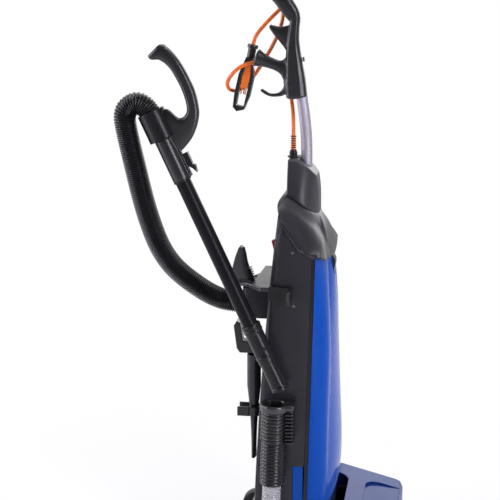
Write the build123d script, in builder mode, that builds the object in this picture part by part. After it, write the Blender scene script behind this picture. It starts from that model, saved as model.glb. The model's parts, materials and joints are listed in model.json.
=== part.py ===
from build123d import *
import os
from math import cos, radians, sin, sqrt, tan

os.makedirs("parts", exist_ok=True)

# An upright vacuum cleaner with a lift-off wand. All sizes are millimetres.
# +X points to the front of the machine, +Y to its left, +Z up, and the floor is z = 0.

# Walls and clearances
wall = 3.0
running_gap = 0.05
seat_gap = 0.3

# Power head
head_half = 190.0
head_front_x = 250.0
hood_rear_x = 70.0
hood_bottom_z = 20.0
hood_front_z = 74.0
hood_brow_z = 84.0
hood_back_z = 116.0
hood_tail_z = 108.0
well_front_x = 136.0
well_half = 137.0
recess_rear_x = 172.0
recess_front_x = 243.0
recess_half = 145.0
recess_depth = 7.0
chassis_bottom_z = 10.0
chassis_top_z = 66.0
chassis_rear_x = 100.0
sole_thickness = 2.0
bumper_bottom_z = 24.0
bumper_height = 16.0
bumper_thickness = 3.0

# Recline pivot and the two arms of the head that carry it
pivot_x = 0.0
pivot_z = 82.0
arm_inner_y = 92.0
arm_thickness = 28.0
arm_boss_radius = 26.0
drum_radius = 58.0
drum_half = arm_inner_y - seat_gap
trunnion_radius = 20.0
trunnion_bore = 17.0
trunnion_reach = 14.0
trunnion_stub = 28.0
pin_radius = 12.0

# Rear wheels
wheel_radius = 32.0
wheel_width = 25.0
wheel_x = -66.0
axle_radius = 4.0
axle_boss_radius = 14.0

# Brush roll and its motor
brush_x = 208.0
brush_z = 32.0
brush_radius = 20.0
bristle_radius = 29.5
bristle_row_radius = 3.0
tufts_per_row = 11
brush_half = 160.0
brush_shaft_radius = 5.0
chamber_half = 172.0
chamber_rear_x = 176.0
chamber_front_x = 240.0
brush_motor_x = 144.0
brush_motor_z = 42.0
brush_motor_radius = 23.0
brush_motor_right_y = -70.0
brush_motor_left_y = 120.0
motor_shaft_radius = 4.0
motor_pulley_radius = 8.0
brush_pulley_radius = 16.0
belt_centre_y = 151.0
belt_width = 8.0
belt_thickness = 2.0

# Height adjuster: knob, carriage and front rollers
knob_x = 150.0
knob_y = -163.0
knob_radius = 17.0
knob_height = 14.0
roller_radius = 9.0
roller_x = 118.0
roller_y = 60.0
roller_width = 18.0
carriage_half = 75.0
carriage_z = 18.5

# Release pedal
pedal_low_y = 64.0
pedal_high_y = 88.0
pedal_tip_x = -110.0
pedal_tread_z = 52.0

# Main body seen from the side
body_half = 132.0
body_foot_z = 124.0
base_plate_thickness = 5.0
rear_foot = (-34.0, body_foot_z)
rear_waist = (-20.0, 400.0)
rear_top = (12.0, 738.0)
rear_corner_radius = 12.0
seam_foot_x = 72.0
seam_slope = 0.0234
trim_width = 8.0
trim_recess = 1.5
blue_step_x = 44.0
blue_step_z = 235.0
shoulder_rear = (10.0, 740.0)
shoulder_front = (101.0, 657.0)
cap_rear = (20.0, 762.0)
cap_front = (88.0, 720.0)
cap_half = 70.0
cap_corner_radius = 16.0
cap_top_z = 834.0

# Bag door
door_foot_z = 126.0
door_top_z = 655.0
door_hinge_x = 100.0
door_hinge_z = 117.0
door_hinge_radius = 6.0
door_pin_radius = 3.0
door_lug_y = 62.0
door_lug_width = 10.0

# Red rocker switch on the rear face
switch_y = -95.0
switch_z = 671.0
switch_width = 13.5

# Latch in the top of the door
latch_x = 100.0
latch_low_z = 597.0
latch_top_z = 636.0
latch_half = 13.0

# Inside the body
floor_z = 243.0
floor_thickness = 4.0
filter_half = 60.0
filter_depth = 44.0
filter_height = 10.0
suction_motor_x = 8.0
suction_motor_z = 182.0
suction_motor_radius = 32.0
suction_motor_left_y = 66.0
suction_motor_right_y = -28.0
fan_radius = 30.0
fan_width = 20.0
fan_shaft_radius = 4.0
fan_blades = 9
bag_half = 104.0
bag_foot_z = 262.0
bag_top_z = 612.0
bag_depth = 56.0

# Handle
tube_radius = 11.0
tube_foot = (51.5, 750.0)
tube_bend = (51.5, 872.0)
tube_head = (31.0, 1010.0)
tube_bend_radius = 600.0
stem_half = 14.0
arm_half = 8.0
loop_centre = (-40.0, 1190.0)
loop_long = 62.0
loop_short = 43.0
loop_grip = 20.0
loop_lean = 110.0

# Hose and wand. The wand's own axis leans back from its tip.
wand_y = -160.0
wand_tip = (24.4, 400.8)
wand_tilt = 25.0
wand_tube_radius = 14.8
wand_wall = 1.5
adapter_radius = 18.0
adapter_length = 141.0
adapter_step = 76.0
tip_bore = 14.2
tip_bore_length = 40.0
button_along = 89.6
button_across = 7.4
button_radius = 4.1
button_depth = 6.0
button_travel = 1.5
sleeve_start = 443.0
sleeve_end = 527.0
sleeve_radius = 17.5
collar_start = 527.5
collar_end = 583.0
collar_radius = 26.0
grip_half = 11.0

# The cuff that the wand stows in, and the hose down to the head
cuff_foot = (12.2, 374.0)
stow_tilt = 1.7
cuff_ring_radius = 28.0
cuff_ring_height = 14.0
cuff_rib_radius = 26.0
cuff_rib_pitch = 7.1
cuff_sleeve_length = 76.0
cuff_bore = 19.0
lower_hose_radius = 24.0
lower_hose_length = 88.0
clear_hose_radius = 18.5
elbow_radius = 23.0
elbow_top_z = 116.0

vacuum_hose_radius = 21.0
inlet_y = -45.0
inlet_z = 540.0
inlet_x = -66.0

cord_radius = 3.75
gland_x = 25.0
gland_height = 34.0


def side_plane(y):
    """The X-Z plane at y. What is extruded from it grows towards the machine's right."""
    return Plane(origin=(0, y, 0), x_dir=(1, 0, 0), z_dir=(0, -1, 0))


def rod_y(x, z, radius, y_low, y_high, mode=Mode.ADD):
    """A cylinder along Y, or a bore when it is subtracted."""
    with BuildSketch(side_plane(y_high)) as disc:
        with Locations((x, z)):
            Circle(radius)
    extrude(disc.sketch, amount=y_high - y_low, mode=mode)


def block(x_span, y_span, z_span, mode=Mode.ADD):
    """A square-cornered block between three pairs of limits."""
    with BuildSketch(Plane.XY.offset(z_span[0])) as foot:
        with Locations(((x_span[0] + x_span[1]) / 2, (y_span[0] + y_span[1]) / 2)):
            Rectangle(x_span[1] - x_span[0], y_span[1] - y_span[0])
    extrude(foot.sketch, amount=z_span[1] - z_span[0], mode=mode)


def side_shape(points, half, mode=Mode.ADD):
    """A polygon in the side view, as wide as half on both sides of the middle."""
    with BuildSketch(Plane.XZ) as profile:
        with BuildLine():
            Polyline(*points, close=True)
        make_face()
    extrude(profile.sketch, amount=half, both=True, mode=mode)


def circle_centre(first, second, third):
    """Centre and radius of the circle through three points of the side view."""
    ax, ay = first
    bx, by = second
    cx, cy = third
    turn = 2 * (ax * (by - cy) + bx * (cy - ay) + cx * (ay - by))
    a2 = ax * ax + ay * ay
    b2 = bx * bx + by * by
    c2 = cx * cx + cy * cy
    ux = (a2 * (by - cy) + b2 * (cy - ay) + c2 * (ay - by)) / turn
    uy = (a2 * (cx - bx) + b2 * (ax - cx) + c2 * (bx - ax)) / turn
    return ux, uy, sqrt((ax - ux) ** 2 + (ay - uy) ** 2)


rear_arc_x, rear_arc_z, rear_arc_radius = circle_centre(rear_foot, rear_waist, rear_top)


def rear_x(z):
    """Where the rear face of the body stands at height z."""
    return rear_arc_x + sqrt(rear_arc_radius**2 - (z - rear_arc_z) ** 2)


if rear_arc_x > 0:
    def rear_x(z):
        """Where the rear face of the body stands at height z."""
        return rear_arc_x - sqrt(rear_arc_radius**2 - (z - rear_arc_z) ** 2)


def seam_x(z):
    """The back of the bag door at height z."""
    return seam_foot_x + (z - body_foot_z) * seam_slope


def trim_x(z):
    """The front edge of the rear housing at height z."""
    return seam_x(z) - trim_width


def shoulder_z(x):
    """The sloping top line of the rear housing."""
    rise = (shoulder_front[1] - shoulder_rear[1]) / (shoulder_front[0] - shoulder_rear[0])
    return shoulder_rear[1] + (x - shoulder_rear[0]) * rise


# Power head: chassis with its two arms
arm_outer_y = arm_inner_y + arm_thickness
motor_bay_rear_x = chassis_rear_x + 8
motor_bay_front_x = chassis_rear_x + 72

with BuildPart() as head_chassis:
    block((chassis_rear_x, head_front_x - wall - 1), (-head_half + wall + 1, head_half - wall - 1),
          (chassis_bottom_z, chassis_top_z))
    fillet(head_chassis.edges().filter_by(Axis.Z).group_by(Axis.X)[-1], radius=17)
    for side in (-1, 1):
        arm_left_y = arm_outer_y if side > 0 else -arm_inner_y
        with BuildSketch(side_plane(arm_left_y)):
            with Locations((pivot_x, pivot_z)):
                Circle(arm_boss_radius)
            with Locations((wheel_x, wheel_radius)):
                Circle(axle_boss_radius)
            with Locations((chassis_rear_x + 5, (chassis_bottom_z + chassis_top_z) / 2)):
                Rectangle(10, chassis_top_z - chassis_bottom_z - 8)
            make_hull()
        extrude(amount=arm_thickness)
    # brush chamber, open below
    block((chamber_rear_x, chamber_front_x), (-chamber_half, chamber_half),
          (chassis_bottom_z, chassis_top_z - wall), mode=Mode.SUBTRACT)
    # motor bay, open above
    block((motor_bay_rear_x, motor_bay_front_x), (-chamber_half + 40, chamber_half),
          (chassis_bottom_z + wall, chassis_top_z), mode=Mode.SUBTRACT)
    # belt slot between bay and chamber
    block((motor_bay_front_x - 1, chamber_rear_x + 1),
          (belt_centre_y - belt_width, belt_centre_y + belt_width),
          (chassis_bottom_z + wall, chassis_top_z), mode=Mode.SUBTRACT)
    # channel for the front rollers and their carriage
    block((roller_x - 13, roller_x + 13), (-carriage_half - 1, carriage_half + 1),
          (chassis_bottom_z - 1, carriage_z + 3), mode=Mode.SUBTRACT)
    rod_y(pivot_x, pivot_z, pin_radius, arm_inner_y - 1, arm_outer_y + 1, mode=Mode.SUBTRACT)
    rod_y(pivot_x, pivot_z, trunnion_radius, -arm_outer_y - 1, -arm_inner_y + 1, mode=Mode.SUBTRACT)
    for side in (-1, 1):
        rod_y(wheel_x, wheel_radius, axle_radius, side * (arm_inner_y + arm_thickness / 2) - arm_thickness,
              side * (arm_inner_y + arm_thickness / 2) + arm_thickness, mode=Mode.SUBTRACT)
head_chassis.part.label = "head_chassis"
export_step(head_chassis.part, "parts/head_chassis.step")


# Blue hood with the well for the body and the shallow recess in its top
def hood_top_z(x):
    """Height of the hood's sloping top at x."""
    return hood_brow_z + (head_front_x - 7 - x) * (hood_back_z - hood_brow_z) / 126


hood_outline = [
    (hood_rear_x, hood_bottom_z),
    (head_front_x, hood_bottom_z),
    (head_front_x, hood_front_z),
    (head_front_x - 7, hood_brow_z),
    (head_front_x - 133, hood_back_z),
    (hood_rear_x + 20, hood_back_z + 3),
    (hood_rear_x, hood_tail_z),
]
hood_inside = [
    (hood_rear_x - 1, hood_bottom_z - 1),
    (head_front_x - wall, hood_bottom_z - 1),
    (head_front_x - wall, hood_front_z - wall),
    (head_front_x - 7 - wall, hood_brow_z - wall),
    (head_front_x - 133, hood_back_z - wall),
    (hood_rear_x + 20, hood_back_z + 3 - wall),
    (hood_rear_x - 1, hood_tail_z - wall),
]
with BuildPart() as hood_core:
    side_shape(hood_inside, head_half - wall)
    fillet(hood_core.edges().filter_by(Axis.Z).group_by(Axis.X)[-1], radius=17)

with BuildPart() as recess_tool:
    side_shape([(recess_rear_x, hood_top_z(recess_rear_x) - recess_depth),
                (recess_front_x, hood_top_z(recess_front_x) - 1),
                (recess_front_x + 4, hood_back_z + 20), (recess_rear_x, hood_back_z + 20)], recess_half)
    fillet(recess_tool.edges().filter_by(Axis.Z).group_by(Axis.X)[0], radius=34)

with BuildPart() as hood:
    side_shape(hood_outline, head_half)
    fillet(hood.edges().filter_by(Axis.Z).group_by(Axis.X)[-1], radius=20)
    add(hood_core.part, mode=Mode.SUBTRACT)
    # the floor of the shallow recess in the top
    side_shape([(recess_rear_x - wall, hood_top_z(recess_rear_x) - 0.5),
                (recess_rear_x - wall, hood_top_z(recess_rear_x) - recess_depth - wall),
                (recess_front_x, hood_top_z(recess_front_x) - 1 - wall),
                (recess_front_x, hood_top_z(recess_front_x) - 0.5)], recess_half + wall)
    add(recess_tool.part, mode=Mode.SUBTRACT)
    # the well that the body stands in
    with BuildSketch(Plane.XY.offset(hood_bottom_z - 1)):
        with Locations(((hood_rear_x - 10 + well_front_x) / 2, 0)):
            Rectangle(well_front_x - hood_rear_x + 10, 2 * well_half)
        fillet(vertices().group_by(Axis.X)[-1], radius=24)
    extrude(amount=hood_back_z, mode=Mode.SUBTRACT)
    # hole for the height knob's stem
    with BuildSketch(Plane.XY.offset(hood_bottom_z)):
        with Locations((knob_x, knob_y)):
            Circle(6)
    extrude(amount=hood_back_z, mode=Mode.SUBTRACT)
hood.part.label = "hood"
export_step(hood.part, "parts/hood.step")

with BuildPart() as bumper:
    with BuildSketch(Plane.XY.offset(bumper_bottom_z)):
        with BuildLine():
            FilletPolyline((hood_rear_x + 30, -head_half - bumper_thickness), (head_front_x + bumper_thickness,
                           -head_half - bumper_thickness), (head_front_x + bumper_thickness,
                           head_half + bumper_thickness), (hood_rear_x + 30, head_half + bumper_thickness),
                           radius=20 + bumper_thickness)
            Line((hood_rear_x + 30, head_half + bumper_thickness), (hood_rear_x + 30, head_half))
            FilletPolyline((hood_rear_x + 30, head_half), (head_front_x, head_half), (head_front_x, -head_half),
                           (hood_rear_x + 30, -head_half), radius=20)
            Line((hood_rear_x + 30, -head_half), (hood_rear_x + 30, -head_half - bumper_thickness))
        make_face()
    extrude(amount=bumper_height)
bumper.part.label = "bumper"
export_step(bumper.part, "parts/bumper.step")

with BuildPart() as sole_plate:
    block((chassis_rear_x + 4, head_front_x - 6), (-head_half + 6, head_half - 6),
          (chassis_bottom_z - sole_thickness, chassis_bottom_z))
    fillet(sole_plate.edges().filter_by(Axis.Z).group_by(Axis.X)[-1], radius=15)
    block((chamber_rear_x + 3, chamber_front_x - 3), (-chamber_half + 4, chamber_half - 4),
          (chassis_bottom_z - sole_thickness, chassis_bottom_z), mode=Mode.SUBTRACT)
    block((roller_x - 13, roller_x + 13), (-carriage_half - 1, carriage_half + 1),
          (chassis_bottom_z - sole_thickness, chassis_bottom_z), mode=Mode.SUBTRACT)
sole_plate.part.label = "sole_plate"
export_step(sole_plate.part, "parts/sole_plate.step")

# Brush roll with spiral tufts
with BuildPart() as brush_core:
    rod_y(brush_x, brush_z, brush_radius, -brush_half, belt_centre_y - belt_width / 2 - 2)
    rod_y(brush_x, brush_z, brush_pulley_radius, belt_centre_y - belt_width / 2 - 2, brush_half)
    rod_y(brush_x, brush_z, brush_shaft_radius, -chamber_half + 2, chamber_half - 2)
brush_core.part.label = "brush_core"
export_step(brush_core.part, "parts/brush_core.step")

tuft_first_y = -brush_half + 6
tuft_pitch = (belt_centre_y - belt_width - 6 - tuft_first_y) / tufts_per_row
with BuildPart() as brush_bristles:
    for row in range(2):
        for index in range(tufts_per_row):
            tuft_y = tuft_first_y + (index + 0.5) * tuft_pitch
            angle = 180 * row + 360 * index / tufts_per_row
            direction = (cos(radians(angle)), 0, sin(radians(angle)))
            foot = (brush_x + direction[0] * (brush_radius - 0.5), tuft_y,
                    brush_z + direction[2] * (brush_radius - 0.5))
            with BuildSketch(Plane(origin=foot, z_dir=direction)):
                RegularPolygon(bristle_row_radius, 8)
            extrude(amount=bristle_radius - brush_radius + 0.5)
    rod_y(brush_x, brush_z, brush_radius, -brush_half, brush_half, mode=Mode.SUBTRACT)
brush_bristles.part.label = "brush_bristles"
export_step(brush_bristles.part, "parts/brush_bristles.step")

with BuildPart() as brush_bearings:
    for side in (-1, 1):
        inner_y = side * (brush_half + 1)
        outer_y = side * chamber_half
        low_y, high_y = min(inner_y, outer_y), max(inner_y, outer_y)
        rod_y(brush_x, brush_z, 13, low_y, high_y)
        rod_y(brush_x, brush_z, brush_shaft_radius + running_gap, low_y, high_y, mode=Mode.SUBTRACT)
        block((brush_x - 6, brush_x + 6), (low_y, high_y), (brush_z + 10, chassis_top_z - wall))
brush_bearings.part.label = "brush_bearings"
export_step(brush_bearings.part, "parts/brush_bearings.step")

with BuildPart() as brush_motor:
    rod_y(brush_motor_x, brush_motor_z, brush_motor_radius, brush_motor_right_y, brush_motor_left_y)
    fillet(brush_motor.edges().filter_by(GeomType.CIRCLE), radius=4)
    rod_y(brush_motor_x, brush_motor_z, motor_shaft_radius, brush_motor_left_y - 1, brush_half)
    block((brush_motor_x - 14, brush_motor_x + 14), (brush_motor_right_y + 20, brush_motor_left_y - 20),
          (chassis_bottom_z + wall, brush_motor_z - brush_motor_radius + 3))
brush_motor.part.label = "brush_motor"
export_step(brush_motor.part, "parts/brush_motor.step")

with BuildPart() as motor_pulley:
    rod_y(brush_motor_x, brush_motor_z, motor_pulley_radius, belt_centre_y - belt_width / 2 - 1,
          belt_centre_y + belt_width / 2 + 1)
    rod_y(brush_motor_x, brush_motor_z, motor_shaft_radius + running_gap, belt_centre_y - belt_width,
          belt_centre_y + belt_width, mode=Mode.SUBTRACT)
motor_pulley.part.label = "motor_pulley"
export_step(motor_pulley.part, "parts/motor_pulley.step")


def belt_outline(extra):
    """The belt's racetrack round both pulleys, extra outside their rims."""
    with Locations((brush_motor_x, brush_motor_z)):
        Circle(motor_pulley_radius + extra)
    with Locations((brush_x, brush_z)):
        Circle(brush_pulley_radius + extra)
    make_hull()


with BuildPart() as drive_belt:
    with BuildSketch(side_plane(belt_centre_y + belt_width / 2)):
        belt_outline(seat_gap + belt_thickness)
    extrude(amount=belt_width)
    with BuildSketch(side_plane(belt_centre_y + belt_width / 2)):
        belt_outline(seat_gap)
    extrude(amount=belt_width, mode=Mode.SUBTRACT)
drive_belt.part.label = "drive_belt"
export_step(drive_belt.part, "parts/drive_belt.step")

# Suction path: duct to the right arm and the hollow trunnion that the elbow turns on
with BuildPart() as suction_trunnion:
    rod_y(pivot_x, pivot_z, trunnion_radius, -arm_outer_y - trunnion_stub, -arm_inner_y + trunnion_reach)
    rod_y(pivot_x, pivot_z, trunnion_bore, -arm_outer_y - trunnion_stub - 1,
          -arm_inner_y + trunnion_reach - wall, mode=Mode.SUBTRACT)
    block((pivot_x, pivot_x + trunnion_radius + 1), (-arm_outer_y + 5, -arm_inner_y - 5),
          (pivot_z - 8, pivot_z + 8), mode=Mode.SUBTRACT)
suction_trunnion.part.label = "suction_trunnion"
export_step(suction_trunnion.part, "parts/suction_trunnion.step")

with BuildPart() as pivot_pin:
    rod_y(pivot_x, pivot_z, pin_radius - running_gap, arm_inner_y - trunnion_reach, arm_outer_y)
    rod_y(pivot_x, pivot_z, pin_radius + 5, arm_outer_y, arm_outer_y + 2.5)
pivot_pin.part.label = "pivot_pin"
export_step(pivot_pin.part, "parts/pivot_pin.step")

wheel_inner_y = arm_outer_y + 4
wheel_outer_y = wheel_inner_y + wheel_width
with BuildPart() as rear_axle:
    rod_y(wheel_x, wheel_radius, axle_radius, -wheel_outer_y - 2, wheel_outer_y + 2)
    for side in (-1, 1):
        washer_y = side * (arm_outer_y + 1.9)
        rod_y(wheel_x, wheel_radius, axle_radius + 4, washer_y - 1.8, washer_y + 1.8)
        cap_y = side * (wheel_outer_y + 1.3)
        rod_y(wheel_x, wheel_radius, axle_radius + 3, cap_y - 1, cap_y + 1)
rear_axle.part.label = "rear_axle"
export_step(rear_axle.part, "parts/rear_axle.step")


def rear_wheel(side):
    """A moulded wheel with a dished, spoked hub and a round-shouldered tread."""
    low_y = min(side * wheel_inner_y, side * wheel_outer_y)
    outer_face_y = side * wheel_outer_y
    rod_y(wheel_x, wheel_radius, wheel_radius, low_y, low_y + wheel_width)
    fillet(edges().filter_by(GeomType.CIRCLE), radius=4)
    dish_low = min(outer_face_y, outer_face_y - side * 8)
    with BuildSketch(side_plane(dish_low + 8)) as dish:
        with Locations((wheel_x, wheel_radius)):
            Circle(wheel_radius - 8)
            Circle(axle_radius + 6, mode=Mode.SUBTRACT)
            with PolarLocations(0, 6):
                with Locations(((wheel_radius - 8) / 2 + 2, 0)):
                    Rectangle(wheel_radius - 8, 3, mode=Mode.SUBTRACT)
    extrude(dish.sketch, amount=8, mode=Mode.SUBTRACT)
    rod_y(wheel_x, wheel_radius, axle_radius + running_gap, low_y - 1, low_y + wheel_width + 1,
          mode=Mode.SUBTRACT)


with BuildPart() as rear_wheel_left:
    rear_wheel(1)
rear_wheel_left.part.label = "rear_wheel_left"
export_step(rear_wheel_left.part, "parts/rear_wheel_left.step")

with BuildPart() as rear_wheel_right:
    rear_wheel(-1)
rear_wheel_right.part.label = "rear_wheel_right"
export_step(rear_wheel_right.part, "parts/rear_wheel_right.step")

# Height adjuster
with BuildPart() as roller_carriage:
    block((roller_x - 12, roller_x + 12), (-carriage_half, carriage_half), (carriage_z, carriage_z + 2))
    for side in (-1, 1):
        for cheek in (-1, 1):
            cheek_y = side * roller_y + cheek * (roller_width / 2 + 2.5)
            block((roller_x - 4, roller_x + 4), (cheek_y - 1, cheek_y + 1), (roller_radius - 3, carriage_z + 1))
    rod_y(roller_x, roller_radius, 2, -roller_y - roller_width / 2 - 3.5, roller_y + roller_width / 2 + 3.5)
roller_carriage.part.label = "roller_carriage"
export_step(roller_carriage.part, "parts/roller_carriage.step")

with BuildPart() as front_rollers:
    for side in (-1, 1):
        low_y = side * roller_y - roller_width / 2
        rod_y(roller_x, roller_radius, roller_radius, low_y, low_y + roller_width)
        rod_y(roller_x, roller_radius, 2 + running_gap, low_y, low_y + roller_width, mode=Mode.SUBTRACT)
front_rollers.part.label = "front_rollers"
export_step(front_rollers.part, "parts/front_rollers.step")

knob_seat_z = hood_top_z(knob_x - knob_radius) + 0.5
with BuildPart() as height_knob:
    with BuildSketch(Plane.XY.offset(knob_seat_z)):
        with Locations((knob_x, knob_y)):
            Circle(knob_radius)
    extrude(amount=knob_height, taper=6)
    with BuildSketch(Plane.XY.offset(knob_seat_z + knob_height - 5)):
        with Locations((knob_x, knob_y)):
            with PolarLocations(knob_radius - 0.5, 10):
                Circle(2)
    extrude(amount=6, mode=Mode.SUBTRACT)
    with BuildSketch(Plane.XY.offset(chassis_top_z + seat_gap)):
        with Locations((knob_x, knob_y)):
            Circle(5)
    extrude(amount=knob_seat_z - chassis_top_z)
height_knob.part.label = "height_knob"
export_step(height_knob.part, "parts/height_knob.step")

with BuildPart() as release_pedal:
    with BuildSketch(side_plane(pedal_high_y)):
        with Locations((wheel_x, wheel_radius)):
            Circle(axle_radius + 5)
        with BuildLine():
            Polyline((wheel_x - 8, wheel_radius + 2), (wheel_x + 2, wheel_radius + 8),
                     (wheel_x - 14, pedal_tread_z + 6), (pedal_tip_x, pedal_tread_z + 2),
                     (pedal_tip_x, pedal_tread_z - 3), (wheel_x - 20, pedal_tread_z - 1), close=True)
        make_face()
    extrude(amount=pedal_high_y - pedal_low_y)
    rod_y(wheel_x, wheel_radius, axle_radius + running_gap, pedal_low_y, pedal_high_y, mode=Mode.SUBTRACT)
release_pedal.part.label = "release_pedal"
export_step(release_pedal.part, "parts/release_pedal.step")

# Main body: the drum on the pivot and the plate that everything above stands on
with BuildPart() as motor_base:
    rod_y(pivot_x, pivot_z, drum_radius, -drum_half, drum_half)
    block((rear_foot[0] + 4, seam_foot_x - 16), (-drum_half, drum_half), (pivot_z, body_foot_z - 2))
    rod_y(pivot_x, pivot_z, drum_radius - wall, -drum_half + 16, drum_half - 16, mode=Mode.SUBTRACT)
    block((-drum_radius - 1, drum_radius + 1), (-body_half, body_half), (body_foot_z, pivot_z + drum_radius + 1),
          mode=Mode.SUBTRACT)
    block((-drum_radius - 1, rear_foot[0] + 1), (-body_half, body_half),
          (body_foot_z - base_plate_thickness, pivot_z + drum_radius + 1), mode=Mode.SUBTRACT)
    block((rear_foot[0] + 1, seam_foot_x - seat_gap), (-body_half + 1, body_half - 1),
          (body_foot_z - base_plate_thickness, body_foot_z))
    for side in (-1, 1):
        lug_y = side * door_lug_y
        block((seam_foot_x - 4, door_hinge_x), (lug_y - door_lug_width / 2, lug_y + door_lug_width / 2),
              (door_hinge_z - door_hinge_radius, body_foot_z - base_plate_thickness + 1))
        rod_y(door_hinge_x, door_hinge_z, door_hinge_radius, lug_y - door_lug_width / 2,
              lug_y + door_lug_width / 2)
        rod_y(door_hinge_x, door_hinge_z, door_pin_radius + running_gap, lug_y - door_lug_width,
              lug_y + door_lug_width, mode=Mode.SUBTRACT)
    rod_y(pivot_x, pivot_z, pin_radius, drum_half - 18, drum_half + 1, mode=Mode.SUBTRACT)
    rod_y(pivot_x, pivot_z, trunnion_radius + running_gap, -drum_half - 1, -drum_half + 18, mode=Mode.SUBTRACT)
motor_base.part.label = "motor_base"
export_step(motor_base.part, "parts/motor_base.step")

housing_top_z = shoulder_z(trim_x(680)) - 0.2
with BuildPart() as rear_housing:
    with BuildSketch(Plane.XZ):
        with BuildLine():
            ThreePointArc(rear_foot, rear_waist, rear_top)
            Polyline(rear_top, (trim_x(housing_top_z), housing_top_z), (trim_x(blue_step_z), blue_step_z),
                     (blue_step_x, blue_step_z), (blue_step_x, body_foot_z), rear_foot)
        make_face()
    extrude(amount=body_half, both=True)
    fillet(rear_housing.edges().filter_by(GeomType.CIRCLE), radius=rear_corner_radius)
    with BuildSketch(Plane.XZ):
        with BuildLine():
            ThreePointArc((rear_foot[0] + wall, body_foot_z - 1), (rear_waist[0] + wall, rear_waist[1]),
                          (rear_top[0] + wall, rear_top[1] - 2.5 * wall))
            Polyline((rear_top[0] + wall, rear_top[1] - 2.5 * wall),
                     (trim_x(housing_top_z) - 1, housing_top_z - wall), (seam_foot_x + 60, housing_top_z - wall),
                     (seam_foot_x + 60, body_foot_z - 1), (rear_foot[0] + wall, body_foot_z - 1))
        make_face()
    extrude(amount=body_half - wall, both=True, mode=Mode.SUBTRACT)
    with BuildSketch(Plane.YZ.offset(rear_foot[0] - 20)):
        with Locations((inlet_y, inlet_z)):
            Circle(vacuum_hose_radius - 2)
        with Locations((switch_y, switch_z)):
            Rectangle(switch_width + 1.5, 26)
    extrude(amount=90, mode=Mode.SUBTRACT)
    with BuildSketch(side_plane(body_half + 1)):
        with Locations((6, 180)):
            with GridLocations(0, 11, 1, 6):
                SlotOverall(50, 5)
    extrude(amount=wall + 2, mode=Mode.SUBTRACT)
rear_housing.part.label = "rear_housing"
export_step(rear_housing.part, "parts/rear_housing.step")

with BuildPart() as exhaust_grille:
    with BuildSketch(side_plane(body_half - wall - seat_gap)):
        with Locations((6, 180)):
            RectangleRounded(62, 72, 6)
            with GridLocations(6, 6, 8, 9):
                Rectangle(3.5, 3.5, mode=Mode.SUBTRACT)
    extrude(amount=3)
exhaust_grille.part.label = "exhaust_grille"
export_step(exhaust_grille.part, "parts/exhaust_grille.step")

with BuildPart() as lower_housing:
    block((blue_step_x + 0.1, trim_x(body_foot_z)), (-body_half, body_half), (body_foot_z, blue_step_z - 0.1))
    block((blue_step_x + wall, seam_foot_x), (-body_half + wall, body_half - wall),
          (body_foot_z - 1, blue_step_z - wall), mode=Mode.SUBTRACT)
    block((blue_step_x - 1, blue_step_x + 5), (-body_half + 14, body_half - 14),
          (body_foot_z - 1, blue_step_z - 10), mode=Mode.SUBTRACT)
lower_housing.part.label = "lower_housing"
export_step(lower_housing.part, "parts/lower_housing.step")

# Black trim and gasket strip between the housing and the bag door
with BuildPart() as door_seal:
    seal_top = door_top_z
    side_shape([(trim_x(body_foot_z), body_foot_z), (seam_x(body_foot_z) - seat_gap, body_foot_z),
                (seam_x(seal_top) - seat_gap, seal_top), (trim_x(seal_top), seal_top)], body_half - trim_recess)
    side_shape([(trim_x(body_foot_z) - 20, body_foot_z + 8), (seam_foot_x + 40, body_foot_z + 8),
                (seam_foot_x + 40, seal_top - 8), (trim_x(body_foot_z) - 20, seal_top - 8)],
               body_half - 9, mode=Mode.SUBTRACT)
door_seal.part.label = "door_seal"
export_step(door_seal.part, "parts/door_seal.step")

# Bag door: a tall shell whose nose is narrow above and wide below.
# Each station gives its height, the nose, and the crease between the side and the front face.
door_stations = (
    (door_foot_z, 113, 102, 106),
    (150, 120, 106, 104),
    (200, 127, 109.5, 102),
    (300, 126, 110, 96),
    (440, 119.5, 110, 78),
    (door_top_z, 101, 99.5, 26),
)


def door_outline(z, nose, crease_x, crease_y, inset=0.0):
    """The door's plan at one height: back line, two rounded sides and a crowned front."""
    back = seam_x(z) - (0.0 if inset == 0 else 2.0)
    half = body_half - inset
    side_x = crease_x - inset
    side_y = crease_y - inset / 2
    chord_x = side_x - back
    chord_y = side_y - half
    swell = 0.2 if crease_y > 40 else 0.07
    middle = ((back + side_x) / 2 - swell * chord_y, (half + side_y) / 2 + swell * chord_x)
    with BuildSketch(Plane.XY.offset(z)) as plan:
        with BuildLine():
            Line((back, half), (back, -half))
            ThreePointArc((back, -half), (middle[0], -middle[1]), (side_x, -side_y))
            ThreePointArc((side_x, -side_y), (nose - inset, 0), (side_x, side_y))
            ThreePointArc((side_x, side_y), middle, (back, half))
        make_face()
    return plan.sketch


def door_hollow(number):
    """The inside of the door at one station: the ends move in by the wall as well."""
    height = door_stations[number][0]
    if number == 0:
        height += wall
    if number == len(door_stations) - 1:
        height -= wall
    return door_outline(height, *door_stations[number][1:], inset=wall)


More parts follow.
